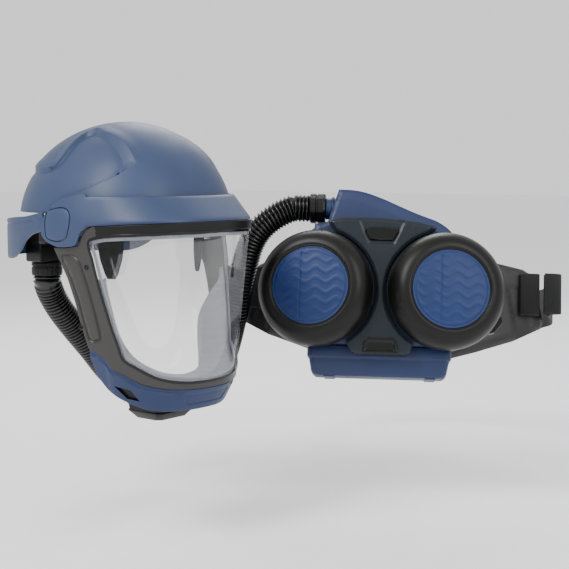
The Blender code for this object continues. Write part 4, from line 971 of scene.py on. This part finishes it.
def make_reveal(window):
    """Light grey inner edge between the sealing strip and the clear pane."""
    back = PANE_INSET + PANE_WALL
    mesh = wall_mesh(grown(window, -1.9), visor_place, back + 0.3 * MM, back + 1.3 * MM,
                     1.4, WALL_DEGREE, holes=(grown(window, -5.4),), sharp=45)
    add("window_reveal", mesh, SEAL, "visor", edge=0.2 * MM, angle=50)


def make_frame_screws():
    profile = [(0.0, 0.1), (1.0, 0.1), (1.2, 0.8), (2.2, 0.8), (2.6, 0.4), (2.6, -0.8), (0, -0.8)]
    profile = np.array(profile) * MM
    meshes = []
    for sign in (1, -1):
        for around, drop in ((66.8, 0.235), (72.6, 0.60)):
            flat = np.array([(sign * turn, -drop * VISOR_DROP) for turn in (around, around + 2)])
            spot, near = visor_place(flat, np.full(2, 0.2 * MM))
            out = Vector(near - spot).normalized().cross(Vector((0, 0, sign)))
            if out.x * spot[0] < 0:
                out = -out
            turn = out.to_track_quat("Z", "Y").to_matrix().to_4x4()
            meshes.append(turned_mesh(profile, Matrix.Translation(spot) @ turn, steps=24))
    add("frame_screws", joined(meshes), BLACK, "visor")


def make_pane():
    mesh = wall_mesh(grown(window_line(), -0.4), visor_place, PANE_INSET,
                     PANE_INSET + PANE_WALL, 2.0, WALL_DEGREE, sharp=60)
    add("clear_window", mesh, CLEAR, "visor", ("visor_pane",))


def make_chin():
    """Chin guard with a ledge under the frame, a bare plate in a groove, and two vents."""
    top = [(around, height - GAP) for around, height in reversed(dropped(CHIN_LINE))]
    foot = list(map(tuple, rounded(dropped(CHIN_FOOT), 3)))
    vent = dropped(CHIN_VENT)
    plate = np.array([(-16.5, -170.5 * MM), (16.5, -170.5 * MM), (13.5, -181.0 * MM), (-13.5, -181.0 * MM)])
    ledge_high, ledge_low = 4.4 * MM, 6.4 * MM
    hem_wide = 2.5 * MM
    hem_foot = -CHIN_FOOT[-1][1] * VISOR_DROP

    def relief(flat):
        around, height = np.abs(flat[:, 0]), flat[:, 1]
        below = chin_level(around) - height
        ledge = 1.6 * MM * (1 - smooth_step(ledge_high, ledge_low, below)) * smooth_step(16, 22, around)
        away = distance(flat * EVEN, looped(plate) * EVEN)
        bare = np.where(inside(plate, flat), 0.5 * MM, 0.0) + 0.8 * MM * (1 - smooth_step(0.1, 0.45, away))
        hem = 0.8 * MM * smooth_step(0, hem_wide, hem_wide - (height - hem_foot))
        return ledge + bare + hem

    across = np.arange(18, 66, 2.0)
    lines = [np.column_stack((across, chin_level(across) - shift)) for shift in (ledge_high, ledge_low)]
    lines += [line * (-1, 1) for line in lines]
    lines += [looped(resized(plate, size)) for size in ((1.04, 1.12), (1.0, 1.0), (0.96, 0.88))]
    mesh = wall_mesh(both_sides(top + foot), chin_place, relief, CHIN_WALL, 1.1, WALL_DEGREE,
                     holes=(vent, mirrored(vent)), lines=lines, sharp=30)
    add("chin_shield", mesh, BLUE_DEEP, "visor", ("chin_guard",), edge=0.6 * MM, angle=50)
    grilles = [wall_mesh(resized(outline, 1.1), chin_place, CHIN_WALL + 0.3 * MM,
                         CHIN_WALL + 1.2 * MM, 2.0, WALL_DEGREE) for outline in (vent, mirrored(vent))]
    add("vent_backing", joined(grilles), BLACK, "visor")


# Face seal, tray and valve

def make_seal():
    """Pleated lining from the frame's inside to the wearer's face."""
    starts, ends = [], []
    for around, drop, side, front, lip_drop in rounded(SEAL_ROWS, 5):
        flat = np.array([(max(around, 0.0), -drop * VISOR_DROP)])
        starts.append(visor_place(flat, np.array([FRAME_WALL + GAP + 0.4 * MM]))[0])
        ends.append((-max(side, 0.0) * SHELL_HALF_WIDTH, -front * SHELL_FRONT, -lip_drop * VISOR_DROP))
    starts, ends = (np.vstack((half, np.array(half)[-2::-1] * (-1, 1, 1))) for half in (starts, ends))
    length = lengths_along(ends)
    count, rows = 220, 11
    spots = np.linspace(0, length[-1], count)
    starts, ends = resampled(starts, length, spots), resampled(ends, length, spots)
    shares = [row / (rows - 1) for row in range(rows)]
    grid = np.array([starts + (ends - starts) * share + (0, 0, -8 * MM * share * (1 - share))
                     for share in shares])
    normal = np.cross(np.gradient(grid, axis=1), np.gradient(grid, axis=0))
    normal /= np.linalg.norm(normal, axis=2)[:, :, None]
    wave = np.sin(2 * math.pi * spots / (9 * MM) + 0.8 * np.sin(spots / (31 * MM)))
    for row, share in enumerate(shares):
        pleat = 1.0 * MM * math.sin(math.pi * share) ** 0.7 * wave
        grid[row] += normal[row] * pleat[:, None]
    wall = 0.8 * MM
    points = np.vstack([(grid + normal * side).reshape(-1, 3) for side in (wall, -wall)])
    size = rows * count
    faces = []
    for row in range(rows - 1):
        for a in range(row * count, row * count + count - 1):
            faces.append((a, a + 1, a + count + 1, a + count))
            faces.append((size + a + count, size + a + count + 1, size + a + 1, size + a))
    loop = list(range(count)) + [row * count + count - 1 for row in range(1, rows)]
    loop += [(rows - 1) * count + step for step in range(count - 2, -1, -1)]
    loop += [row * count for row in range(rows - 2, 0, -1)]
    faces += [(b, a, size + a, size + b) for a, b in zip(loop, loop[1:] + loop[:1])]
    add("face_lining", mesh_from(points, faces, 60), SEAL, "visor",
        ("face_seal",))


def make_tray():
    """Floor of the chin guard, and the exhalation valve's housing under it."""
    level = -CHIN_FOOT[-1][1] * VISOR_DROP + 3 * MM
    around = np.array([33.1, 26.0, 20.0, 14.0, 8.0, 0.0])
    edge = chin_place(np.column_stack((around, np.full(6, level))), CHIN_WALL + GAP)
    right = [np.array((0.42 * edge[0][0], -0.16 * BRIM_FRONT, level)), *edge]
    ring = right + [point * (-1, 1, 1) for point in reversed(right[:-1])]
    rings = [[point + (0, 0, lift) for point in ring] for lift in (0.0, 2.4 * MM)]
    add("chin_floor", loft_mesh(rings), BLACK, "visor", ("chin_tray",),
        edge=0.4 * MM)
    wide, slim = 0.27 * SHELL_HALF_WIDTH, 0.21 * SHELL_HALF_WIDTH
    corner = 5 * MM
    rings = []
    for drop, half, ahead, behind in ((0.0, wide, 0.52, 0.13), (0.2, wide, 0.517, 0.132),
                                      (0.23, 0.97 * wide, 0.51, 0.14), (0.52, 0.97 * wide, 0.50, 0.15),
                                      (0.56, wide, 0.51, 0.14), (1.0, slim, 0.46, 0.20)):
        front, back = -ahead * BRIM_FRONT, -behind * BRIM_FRONT
        rings.append([(x, y, level - GAP - drop * VALVE_DROP) for x, y in (
            (-half + corner, front), (half - corner, front), (half, front + corner), (half, back - corner),
            (half - corner, back), (-half + corner, back), (-half, back - corner), (-half, front + corner))])
    add("valve_housing", loft_mesh(rings), BLACK, "visor",
        ("exhale_valve",), edge=0.6 * MM, angle=30)


# Rear band, harness and duct

def make_rear():
    top = [(around, share * REAR_BAND_RISE) for around, share in rounded(REAR_BAND_TOP, 3)]
    foot = [(around, -share * REAR_BAND_DROP) for around, share in rounded(REAR_BAND_FOOT, 3)]
    top += [(360 - around, height) for around, height in reversed(top[:-1])]
    foot += [(360 - around, height) for around, height in reversed(foot[:-1])]
    outline = np.array(top + foot[::-1])
    groove = np.array(top) - (0, 5.5 * MM)

    def relief(flat):
        near = distance(flat * EVEN, groove * EVEN)
        hem = distance(flat * EVEN, looped(outline) * EVEN)
        return 0.9 * MM * (1 - smooth_step(0.3, 0.9, near)) + 0.6 * MM * (1 - smooth_step(0.0, 1.0, hem))

    lines = [(groove + (0, shift * MM))[4:-4] for shift in (-1.6, -0.8, 0.0, 0.8, 1.6)]
    mesh = wall_mesh(outline, rear_band_place, relief, REAR_BAND_WALL, 1.7, WALL_DEGREE,
                     lines=lines)
    add("nape_band", mesh, BLUE, "helmet", ("rear_band",), edge=0.5 * MM, angle=50)


def headband_level(around):
    share = 0.5 + 0.5 * math.cos(math.radians(around))
    return HEADBAND_REAR_LEVEL + share * (HEADBAND_FRONT_LEVEL - HEADBAND_REAR_LEVEL)


def headband_spot(around, out=0.0):
    x, y = plan(np.float64(around), HEADBAND_HALF_WIDTH, HEADBAND_FRONT, HEADBAND_REAR, 2.2)
    length = math.hypot(x, y)
    return np.array((x, y)) * (1 + out / length)


def make_headband():
    rings = []
    for around in range(0, 360, 3):
        outer, inner = headband_spot(around), headband_spot(around, -HEADBAND_WALL)
        bulge = headband_spot(around, -HEADBAND_WALL - 0.5 * MM)
        level, half = headband_level(around), HEADBAND_HEIGHT / 2
        hem = (outer + inner) / 2
        rings.append([(*outer, level + half - 0.8 * MM), (*outer, level - half + 0.8 * MM),
                      (*hem, level - half), (*inner, level - half + 1.5 * MM),
                      (*bulge, level - 0.5 * half), (*bulge, level + 0.5 * half),
                      (*inner, level + half - 1.5 * MM), (*hem, level + half)])
    add("sweat_band", loft_mesh(rings, closed=True, sharp=50), CLOTH, "helmet",
        ("headband",))
    for number, around in enumerate((48, 132, 228, 312), 1):
        level = max(headband_level(around) + 0.3 * HEADBAND_HEIGHT, RIM_REAR + 6 * MM)
        starts, ends = [], []
        for turn in (around - 5, around + 5):
            starts.append(headband_spot(turn, 1.5 * GAP))
            reach = shell_spot(turn, down_angle(level + 4 * MM), CREST_RISE + SHELL_WALL)[:2]
            ends.append(reach * (1 - 4 * GAP / math.hypot(*reach)))
        corners = starts + [ends[1], ends[0]]
        rings = [[(*corner, level + lift) for corner in corners] for lift in (-4 * MM, 4 * MM)]
        add(f"band_clip_{number}", loft_mesh(rings), BLACK, "helmet",
            (f"harness_clip_{number}",), edge=0.8 * MM)


def make_straps():
    for name, start, extra, side in (("strap_long", 0, 1.4 * MM + 3 * GAP, (1, 0, 0)),
                                     ("strap_cross", 90, 0.0, (0, 1, 0))):
        depth = CREST_RISE + SHELL_WALL + 12 * MM + extra
        centres = []
        for around in (start, start + 180):
            foot = headband_spot(around, 0.7 * MM + GAP)
            level = headband_level(around)
            line = [np.array((*foot, level - 0.3 * HEADBAND_HEIGHT)),
                    np.array((*foot, level + 0.5 * HEADBAND_HEIGHT + 2 * MM))]
            line += [shell_spot(around, down, depth) for down in (52, 38, 25, 14, 6)]
            centres += line if around == start else line[::-1]
            if around == start:
                centres.append(shell_spot(0, 0, depth))
        mesh = ribbon_mesh(rounded(centres, 5), side, 16 * MM, 1.4 * MM)
        add(name, mesh, WEB, "helmet", (f"crown_{name}",))


def make_flaps():
    for side, sign in (("right", -1), ("left", 1)):
        rings = []
        inset = HEADBAND_WALL + GAP + FLAP_WIDTH ** 2 / (6 * HEADBAND_HALF_WIDTH)
        x, y = plan(np.float64(58), HEADBAND_HALF_WIDTH - inset, HEADBAND_FRONT - inset, HEADBAND_REAR, 2.2)
        spot = np.array((sign * abs(x), y))
        tangent = np.array((sign * 0.42, 0.90, 0)) / math.hypot(0.42, 0.90)
        out = np.cross((0, 0, 1), tangent)
        for step in range(15):
            share = step / 14
            width = FLAP_WIDTH * np.interp(share, (0, 0.3, 0.7, 0.93, 1.0), (1, 0.95, 0.72, 0.42, 0.26))
            lean = 1 - 0.05 * share
            centre = np.array((*(spot * lean), headband_level(58) - share * FLAP_DROP))
            ring = []
            for way, hem in ((1, 0.5), (-1, 0.3)):
                for across in np.linspace(-0.5, 0.5, 9) * way:
                    wall = way * 0.9 * MM * (hem if abs(across) == 0.5 else 1.0)
                    ring.append(centre + tangent * across * width + out * wall)
            rings.append(ring)
        add(f"flap_{side}", loft_mesh(rings, sharp=60), CLOTH, "helmet",
            (f"temple_flap_{side}",))


def make_duct():
    half, depth = 22 * MM, DUCT_DEPTH
    rear = DUCT_REAR - GAP
    ring = [(-half, rear - depth), (half, rear - depth), (half, rear), (0.4 * half, rear + 1.2 * MM),
            (-0.4 * half, rear + 1.2 * MM), (-half, rear)]
    levels = ((DUCT_BOTTOM, 0.93), (DUCT_BOTTOM + 2 * MM, 1.0), (-30 * MM, 1.0), (-29 * MM, 0.97),
              (-24 * MM, 0.97), (-23 * MM, 1.0), (-4 * MM, 1.0))
    rings = [[(*point, z) for point in resized(ring, size)] for z, size in levels]
    add("duct_box", loft_mesh(rings), BLACK, "helmet", ("air_duct",),
        edge=1.5 * MM, segments=3)
    r, l = COLLAR_RADIUS, COLLAR_LENGTH
    profile = [(0, 0), (0.94 * r, 0), (r, -1.5 * MM), (r, -4 * MM), (0.95 * r, -4.6 * MM),
               (0.95 * r, -6 * MM), (r, -6.6 * MM), (r, 3 * MM - l), (0.96 * r, -l), (0, -l)]

    def ribs(turn):
        return 1 - 0.022 * (np.cos(turn * 20) > 0.55)

    spot = (0.0, rear - DUCT_DEPTH * 0.42, DUCT_BOTTOM - GAP)
    mesh = turned_mesh(profile, Matrix.Translation(spot), steps=120, shape=ribs)
    add("duct_cuff", mesh, BLACK, "helmet", ("duct_collar",))


# Fan unit

def filter_place(sign, height):
    splay = math.radians(FILTER_SPLAY)
    spot = (sign * (FILTER_SPREAD - height * math.sin(splay)), height * math.cos(splay), FILTER_LEVEL)
    turn = rotation(sign * FILTER_SPLAY, "Z") @ rotation(90, "X")
    return FAN @ Matrix.Translation(spot) @ turn


def make_filters():
    r, h, d = FILTER_RADIUS, FILTER_HEIGHT, DISC_RADIUS
    shoulder = [math.pi / 2 * step / 18 for step in range(19)]
    neck = d + 3 * MM
    dome = [(neck + (r - neck) * math.sin(a), h * 0.36 + h * 0.64 * math.cos(a)) for a in shoulder]
    profile = [(0, h - DISC_WALL - 2 * GAP), (d + GAP, h - DISC_WALL - 2 * GAP), (d + GAP, h - 0.9 * MM),
               (d + 1.0 * MM, h - 0.35 * MM), (d + 1.9 * MM, h - 0.7 * MM), (d + 2.3 * MM, h - 0.25 * MM)]
    profile += dome + [(0.996 * r, 0.30 * h), (0.985 * r, 0.16 * h), (0.97 * r, 0.15 * h),
                       (0.97 * r, 0.12 * h), (0.985 * r, 0.11 * h), (0.96 * r, 0.03 * h), (0.92 * r, 0.0),
                       (0, 0)]
    for side, sign in (("left", -1), ("right", 1)):
        place = filter_place(sign, h)
        mesh = turned_mesh(profile, place, steps=144, sharp=35)
        add(f"filter_hood_{side}", mesh, RING_BLACK, "helmet", (f"filter_ring_{side}",))
        make_disc(side, place)


def make_disc(side, place):
    """Blue grille disc with rows of waves and one upright seam."""
    h, d = FILTER_HEIGHT, DISC_RADIUS
    seam = -0.27 * d

    def face(flat, depth):
        return np.column_stack((flat[:, 0], flat[:, 1], depth))

    def front(flat):
        reach = np.hypot(flat[:, 0], flat[:, 1])
        base = np.interp(reach, (0, 0.5 * d, 0.9 * d, d), (h + 0.4 * MM, h, h - 0.9 * MM, h - 1.6 * MM))
        swell = 3.0 * MM * np.sin(2 * math.pi * (flat[:, 0] - seam) / (24 * MM))
        row = (flat[:, 1] + swell) / WAVE_PITCH
        ridge = np.abs((row % 1.0) - 0.5) * 2
        field = 1 - smooth_step(0.86 * d, 0.93 * d, reach)
        wave = WAVE_RISE * smooth_step(0.15, 0.62, ridge) * field
        groove = 0.5 * MM * (1 - smooth_step(0.3 * MM, 1.0 * MM, np.abs(flat[:, 0] - seam))) * field
        rim = 0.5 * MM * (1 - smooth_step(0.4 * MM, 1.0 * MM, np.abs(reach - 0.95 * d)))
        return base - wave - groove - rim

    turn = np.linspace(0, 2 * math.pi, 121)[:-1]
    outline = np.column_stack((np.cos(turn), np.sin(turn))) * d
    mesh = wall_mesh(outline, face, front, h - DISC_WALL - GAP, 1.0 * MM, move=place, sharp=60)
    add(f"grille_disc_{side}", mesh, DISC_BLUE, "helmet", (f"filter_disc_{side}",))


def hood_tool(sign, radius, front, back):
    return turned_mesh([(0, -back), (radius, -back), (radius, -front), (0, -front)],
                       filter_place(sign, 0.0), steps=72)


def make_body():
    centre_x = FILTER_SPREAD - BODY_FRONT * math.tan(math.radians(FILTER_SPLAY))
    wing = list(map(tuple, rounded([(a * FILTER_SPREAD, u * WING_HEIGHT) for a, u in WING_EDGE], 4)))
    slant = 11 * MM
    right = arc((centre_x, FILTER_LEVEL), SOCKET_RADIUS, 62, -88)
    left = arc((-centre_x, FILTER_LEVEL), SOCKET_RADIUS, -92, -222)
    under_hose = OUTLET_LEVEL - CONNECTOR_RADIUS - 3 * MM
    shoulder = [(-0.99 * FILTER_SPREAD, under_hose - 5 * MM), (-0.99 * FILTER_SPREAD, under_hose),
                (1.15 * OUTLET_SIDE - slant, under_hose), (OUTLET_SIDE - slant, under_hose + 3 * MM)]
    outline = np.array(wing + right + left + shoulder)
    loop = looped(outline)
    crease = np.array(wing) + (-3 * MM, -9 * MM)

    def front(flat):
        hem = 2.6 * MM * (1 - smooth_step(0, 4.0 * MM, distance(flat, loop))) ** 1.5
        drop = np.interp(flat[:, 0], crease[:, 0], crease[:, 1]) - flat[:, 1]
        return BODY_FRONT + (hem + 1.0 * MM * (1 - smooth_step(-0.6 * MM, 0.6 * MM, drop)))

    inner = beside(loop, -1.2 * MM)
    body = wall_mesh(outline, upright, front, BODY_BACK, 3 * MM, move=FAN, lines=(inner[2:-2],))
    seat = FILTER_HEIGHT + GAP
    tools = [hood_tool(sign, FILTER_RADIUS + 4 * GAP, -0.5 * FILTER_HEIGHT, seat + GAP) for sign in (-1, 1)]
    body = cut(body, *tools)
    r, back = SOCKET_RADIUS, BODY_BACK - 12 * MM
    cup = [(0, -back), (0.86 * r, -back), (0.93 * r, -back + 3 * MM)]
    cup += [(share * r, -seat - drop * MM) for share, drop in (
        (0.97, 12), (0.975, 6), (0.955, 5.4), (0.955, 4.0), (1.0, 3.4), (1.0, 0.5), (0.985, 0), (0, 0))]
    cups = [turned_mesh(cup, filter_place(sign, 0.0), steps=120) for sign in (-1, 1)]
    add("unit_body", joined([body, *cups]), BLUE_DEEP, "helmet", ("fan_body",))


def make_side_clip():
    """Small black catch on the right filter's outer edge."""
    ring = [(-6, -10), (4, -12), (7, -7), (7, 7), (3, 11), (-6, 9)]
    spot = FAN @ Matrix.Translation((127 * MM, 47 * MM, -34 * MM)) @ rotation(38, "Y")
    rings = [[(x * MM, y, z * MM) for x, z in ring] for y in (-9 * MM, 9 * MM)]
    add("filter_catch", loft_mesh(rings, move=spot), BLACK, "helmet",
        edge=1.2 * MM)


def panel_outline():
    clear = FILTER_RADIUS + 2.5 * MM
    centre = (FILTER_SPREAD - 0.12 * FILTER_HEIGHT, FILTER_LEVEL)
    top = math.degrees(math.asin((0.79 * PANEL_TOP - centre[1]) / clear))
    foot = math.degrees(math.asin((0.81 * PANEL_FOOT + centre[1]) / clear))
    right = arc(centre, clear, 180 - top, 180 + foot)
    left = [(-x, z) for x, z in reversed(right)]
    crown = [(x * FILTER_SPREAD, z * PANEL_TOP) for x, z in (
        (-0.78, 0.95), (-0.55, 1.0), (0.0, 1.0), (0.5, 0.96), (0.78, 0.89))]
    base = [(x * FILTER_SPREAD, lift - PANEL_FOOT) for x, lift in (
        (0.44, 3 * MM), (0.38, 0), (-0.33, 0), (-0.40, 3 * MM))]
    return np.array(crown + right + base + left)


def button_outline(grow=0.0):
    top, foot = 18 * MM + grow, 12.5 * MM + grow
    high, low = 0.86 * PANEL_TOP + grow, 0.68 * PANEL_TOP - grow
    corner = high - 5 * MM
    return [(-top, high), (top, high), (top, corner), (foot, low), (-foot, low), (-top, corner)]


def make_panel():
    outline = panel_outline()
    recess = np.array([(-27, 79), (27, 78), (22.5, 68), (14.5, 50), (-14.5, 50), (-22.5, 68)]) * MM

    def front(flat):
        hem = 2.4 * MM * (1 - smooth_step(0, 3.2 * MM, distance(flat, looped(outline))))
        return PANEL_FRONT + (hem + 1.0 * MM * smooth_step(-0.2 * MM, 1.2 * MM, depth_in(recess, flat)))

    panel = wall_mesh(outline, upright, front, BODY_FRONT - GAP, 1.9 * MM,
                      lines=(looped(recess), looped(resized(recess, 0.93))), move=FAN)
    key_front = PANEL_FRONT - BUTTON_PROUD
    key_back = PANEL_FRONT + BUTTON_DEPTH - BUTTON_PROUD
    tool = plate_mesh(button_outline(GAP), PANEL_FRONT - 5 * MM, key_back + BUTTON_TRAVEL + GAP)
    add("control_panel", cut(panel, tool), PANEL_BLACK, "helmet", ("centre_panel",))
    key = plate_mesh(button_outline(), key_front, key_back)
    add("control_key", key, GLOSS, "button", ("control_button",), edge=1.0 * MM, segments=3)


def make_latch():
    foot = 1 * MM - PANEL_FOOT
    shape = ((-1, 0), (1, 0), (0.94, 0.75), (0.78, 1), (-0.78, 1), (-0.94, 0.75))
    outline = np.array([(LATCH_MIDDLE + side * LATCH_WIDTH / 2, foot + rise * LATCH_HEIGHT)
                        for side, rise in shape])
    middle = np.array((LATCH_MIDDLE, foot + 0.42 * LATCH_HEIGHT))
    plate, inner = (middle + (outline - middle) * size for size in ((0.85, 0.66), (0.80, 0.56)))
    back = PANEL_FRONT - GAP

    def front(flat):
        return back - LATCH_WALL + 1.3 * MM * smooth_step(0, 0.8 * MM, depth_in(plate, flat))

    mesh = wall_mesh(outline, upright, front, back, 1.5 * MM,
                     lines=(looped(plate), looped(inner)), move=FAN)
    add("release_latch", mesh, GLOSS, "helmet", ("battery_latch",), edge=0.8 * MM, segments=3)


def make_battery():
    low = BATTERY_TOP - BATTERY_HEIGHT
    ledge = BATTERY_TOP - 0.38 * BATTERY_HEIGHT
    inset, corner = 5 * MM, 7 * MM
    rings = []
    for level, narrow, back_set in ((BATTERY_TOP, 0.6 * inset, 0.6 * MM), (BATTERY_TOP - 3 * MM, 0.0, 0.0),
                                    (ledge + 1.0 * MM, 0.0, 0.0), (ledge, 0.3 * MM, 0.3 * MM),
                                    (ledge - 2 * MM, 0.42 * inset, 0.4 * inset),
                                    (low + 5 * MM, 0.95 * inset, 0.6 * inset),
                                    (low + 2 * MM, 1.2 * inset, inset), (low, 1.8 * inset, 1.6 * inset)):
        side = BATTERY_HALF_WIDTH - narrow - corner
        front, back = BODY_FRONT + back_set + corner, BATTERY_BACK - back_set - corner
        ring = []
        for x, y, start in ((side, back, 0), (-side, back, 90), (-side, front, 180), (side, front, 270)):
            ring += [(*spot, level) for spot in arc((x, y), corner, start, start + 90, 15)]
        rings.append(ring)
    pieces = [loft_mesh(rings, sharp=30, move=FAN)]
    front, back = BODY_FRONT + 8 * MM, BATTERY_BACK - 8 * MM
    for x in (-62 * MM, 52 * MM):
        far = x + 12 * MM
        rings = [[(x, front, z), (far, front, z), (far, back, z), (x, back, z)]
                 for z in (low - 1.4 * MM, low + 2 * MM)]
        pieces.append(loft_mesh(rings, move=FAN))
    add("power_pack", joined(pieces), BLUE_DEEP, "helmet", ("battery",),
        edge=0.5 * MM, angle=45)


def octagon(turn):
    """Eight shallow flats round a turned form."""
    return 0.955 / np.maximum(np.cos((turn + math.pi / 8) % (math.pi / 4) - math.pi / 8), 0.955)


def make_outlet():
    def spot(side):
        return FAN @ Matrix.Translation((side, OUTLET_DEPTH, OUTLET_LEVEL)) @ rotation(-90, "Y")

    r, l = OUTLET_RADIUS, OUTLET_LENGTH
    profile = [(0, l), (0.94 * r, l), (r, l - 1 * MM), (r, 0.55 * l), (1.14 * r, 0.5 * l),
               (1.14 * r, 0.36 * l), (r, 0.3 * l), (r, 0), (0, 0)]
    mesh = turned_mesh(profile, spot(OUTLET_SIDE - GAP), steps=72)
    add("outlet_spout", mesh, BLUE_DEEP, "helmet", ("outlet_collar",))
    r, l = CONNECTOR_RADIUS, CONNECTOR_LENGTH
    profile = [(0, l), (0.9 * r, l), (r, l - 1.5 * MM), (r, 0.62 * l), (0.94 * r, 0.58 * l),
               (0.94 * r, 0.5 * l), (r, 0.46 * l), (r, 2 * MM), (0.95 * r, 0), (0, 0)]
    mesh = turned_mesh(profile, spot(OUTLET_SIDE - 2 * GAP - OUTLET_LENGTH), shape=octagon,
                       sharp=20)
    add("hose_coupling", mesh, BLACK, "helmet", ("hose_connector",))


# Belt

def pad_depth(across):
    return BODY_BACK + GAP + PAD_BOW * ((across - BELT_MIDDLE) / PAD_HALF_WIDTH) ** 2


def make_belt():
    right = [(a * PAD_HALF_WIDTH, u * (PAD_RISE if u > 0 else PAD_DROP)) for a, u in PAD_EDGE]
    outline = both_sides(right) + (BELT_MIDDLE, 0)
    loop = looped(outline)
    inset = np.array([(148, 26), (171, 23), (184, -27), (161, -41)]) * MM
    insets = (inset, (inset - (BELT_MIDDLE, 0)) * (-1, 1) + (BELT_MIDDLE, 0))
    hem = 6 * MM
    seam = beside(loop, -hem)

    def edge(flat):
        return (1 - smooth_step(0, hem, distance(flat, loop))) ** 1.4

    def relief(flat):
        depth = 3.0 * MM * edge(flat) + 1.0 * MM * (1 - smooth_step(0.0, 1.8 * MM, distance(flat, seam)))
        for area in insets:
            depth += 1.6 * MM * smooth_step(-0.5 * MM, 2.0 * MM, depth_in(area, flat))
        return depth

    def place(flat, depth):
        return np.column_stack((flat[:, 0], pad_depth(flat[:, 0]) + depth, flat[:, 1]))

    def back(flat):
        return PAD_WALL - 2.5 * MM * edge(flat)

    lines = [looped(area) for area in insets]
    mesh = wall_mesh(outline, place, relief, back, 3.2 * MM, lines=lines, move=FAN, sharp=60)
    add("back_pad", mesh, PAD, "helmet", ("belt_pad",))


def loop_spot(turn):
    start = pad_depth(BELT_MIDDLE + PAD_HALF_WIDTH) + PAD_WALL / 2
    bend = math.radians(turn)
    power = 2 / 2.3
    across = math.copysign(abs(math.cos(bend)) ** power, math.cos(bend))
    behind = start + LOOP_DEPTH * math.sin(bend) ** power
    return np.array((BELT_MIDDLE + LOOP_HALF_WIDTH * across, behind, WEB_LEVEL))


def make_webs():
    middle = loop_spot(90)
    half = BUCKLE_LENGTH / 2 + GAP
    for side, sign in (("right", 1), ("left", -1)):
        keeper_out = BELT_MIDDLE + sign * (PAD_HALF_WIDTH + 2 * MM)
        keeper_in = BELT_MIDDLE + sign * (PAD_HALF_WIDTH - 28 * MM)
        front = min(pad_depth(keeper_in), pad_depth(keeper_out)) - GAP
        layers = []
        for rise in (1.3 * MM, 3.9 * MM):
            line = [(keeper_in + sign * 21 * MM * step / 12,
                     front - rise - 2.4 * MM * math.sin(math.pi * step / 12) ** 0.6, WEB_LEVEL)
                    for step in range(13)]
            layers.append(ribbon_mesh(line, (0, 0, 1), WEB_WIDTH, WEB_WALL, FAN))
        bend = [(keeper_out + sign * (19 * math.sin(turn) - 3) * MM, front - (5 + 6 * math.cos(turn)) * MM,
                 WEB_LEVEL + 1 * MM) for turn in np.linspace(0, math.pi, 25)]
        layers.append(ribbon_mesh(bend, (0, 0, 1), WEB_WIDTH - 2 * MM, WEB_WALL, FAN))
        add(f"webbing_fold_{side}", joined(layers), WEB, "helmet", (f"web_fold_{side}",))
        lead = np.array((keeper_out + sign * (GAP + 0.55 * WEB_WALL), front - 1.25 * WEB_WALL, WEB_LEVEL))
        turns = [turn if sign > 0 else 180 - turn for turn in range(10, 90, 8)]
        spots = [lead] + [loop_spot(turn) for turn in turns]
        spots = [spot for spot in spots if abs(spot[0] - middle[0]) > half + 6 * MM]
        spots.append(np.array((middle[0] + sign * half, middle[1], WEB_LEVEL)))
        mesh = ribbon_mesh(rounded(spots, 6), (0, 0, 1), WEB_WIDTH, WEB_WALL, FAN)
        add(f"webbing_{side}", mesh, WEB, "helmet", (f"belt_web_{side}",))


def make_buckle():
    middle = loop_spot(90)
    l, h = BUCKLE_LENGTH, 58 * MM
    half_wall = 8 * MM
    body = [(-0.5, -0.42), (-0.2, -0.5), (0.12, -0.5), (0.2, -0.44), (0.36, -0.44), (0.5, -0.40),
            (0.5, 0.40), (0.36, 0.44), (0.2, 0.44), (0.12, 0.5), (-0.2, 0.5), (-0.5, 0.42)]
    outline = np.array([(x * l, z * h + WEB_LEVEL) for x, z in body])
    centre = np.array((0.0, WEB_LEVEL))
    window = np.array([(0.10, -0.24), (0.30, -0.20), (0.30, 0.20), (0.10, 0.24)]) * (l, h) + centre
    bar = np.array([(-0.40, -0.30), (-0.33, -0.30), (-0.33, 0.30), (-0.40, 0.30)]) * (l, h) + centre

    def place(flat, depth):
        return np.column_stack((flat[:, 0] + middle[0], middle[1] + depth, flat[:, 1]))

    def back(flat):
        across = (flat[:, 0] / (0.5 * l)) ** 2
        up = ((flat[:, 1] - WEB_LEVEL) / (0.5 * h)) ** 2
        return half_wall - 2.2 * MM * np.maximum(across, up)

    mesh = wall_mesh(outline, place, lambda flat: -back(flat), back, 2.2 * MM,
                     holes=(window, bar), move=FAN)
    add("side_buckle", mesh, BLACK, "helmet", ("belt_buckle",), edge=1.0 * MM, angle=50)


def refinish():
    """The hidden washers keep their own shape and get a finish."""
    for side in ("left", "right"):
        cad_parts[f"pivot_washer_{side}"].material_slots[0].material = BLACK


for make in (make_camera, make_hose, make_studio, make_shell, make_brow_band, make_visor_frame, make_pane,
             make_chin, make_seal, make_tray, make_rear, make_headband, make_straps, make_flaps, make_duct,
             make_filters, make_body, make_side_clip, make_panel, make_latch, make_battery, make_outlet,
             make_belt, make_webs, make_buckle, refinish):
    make()
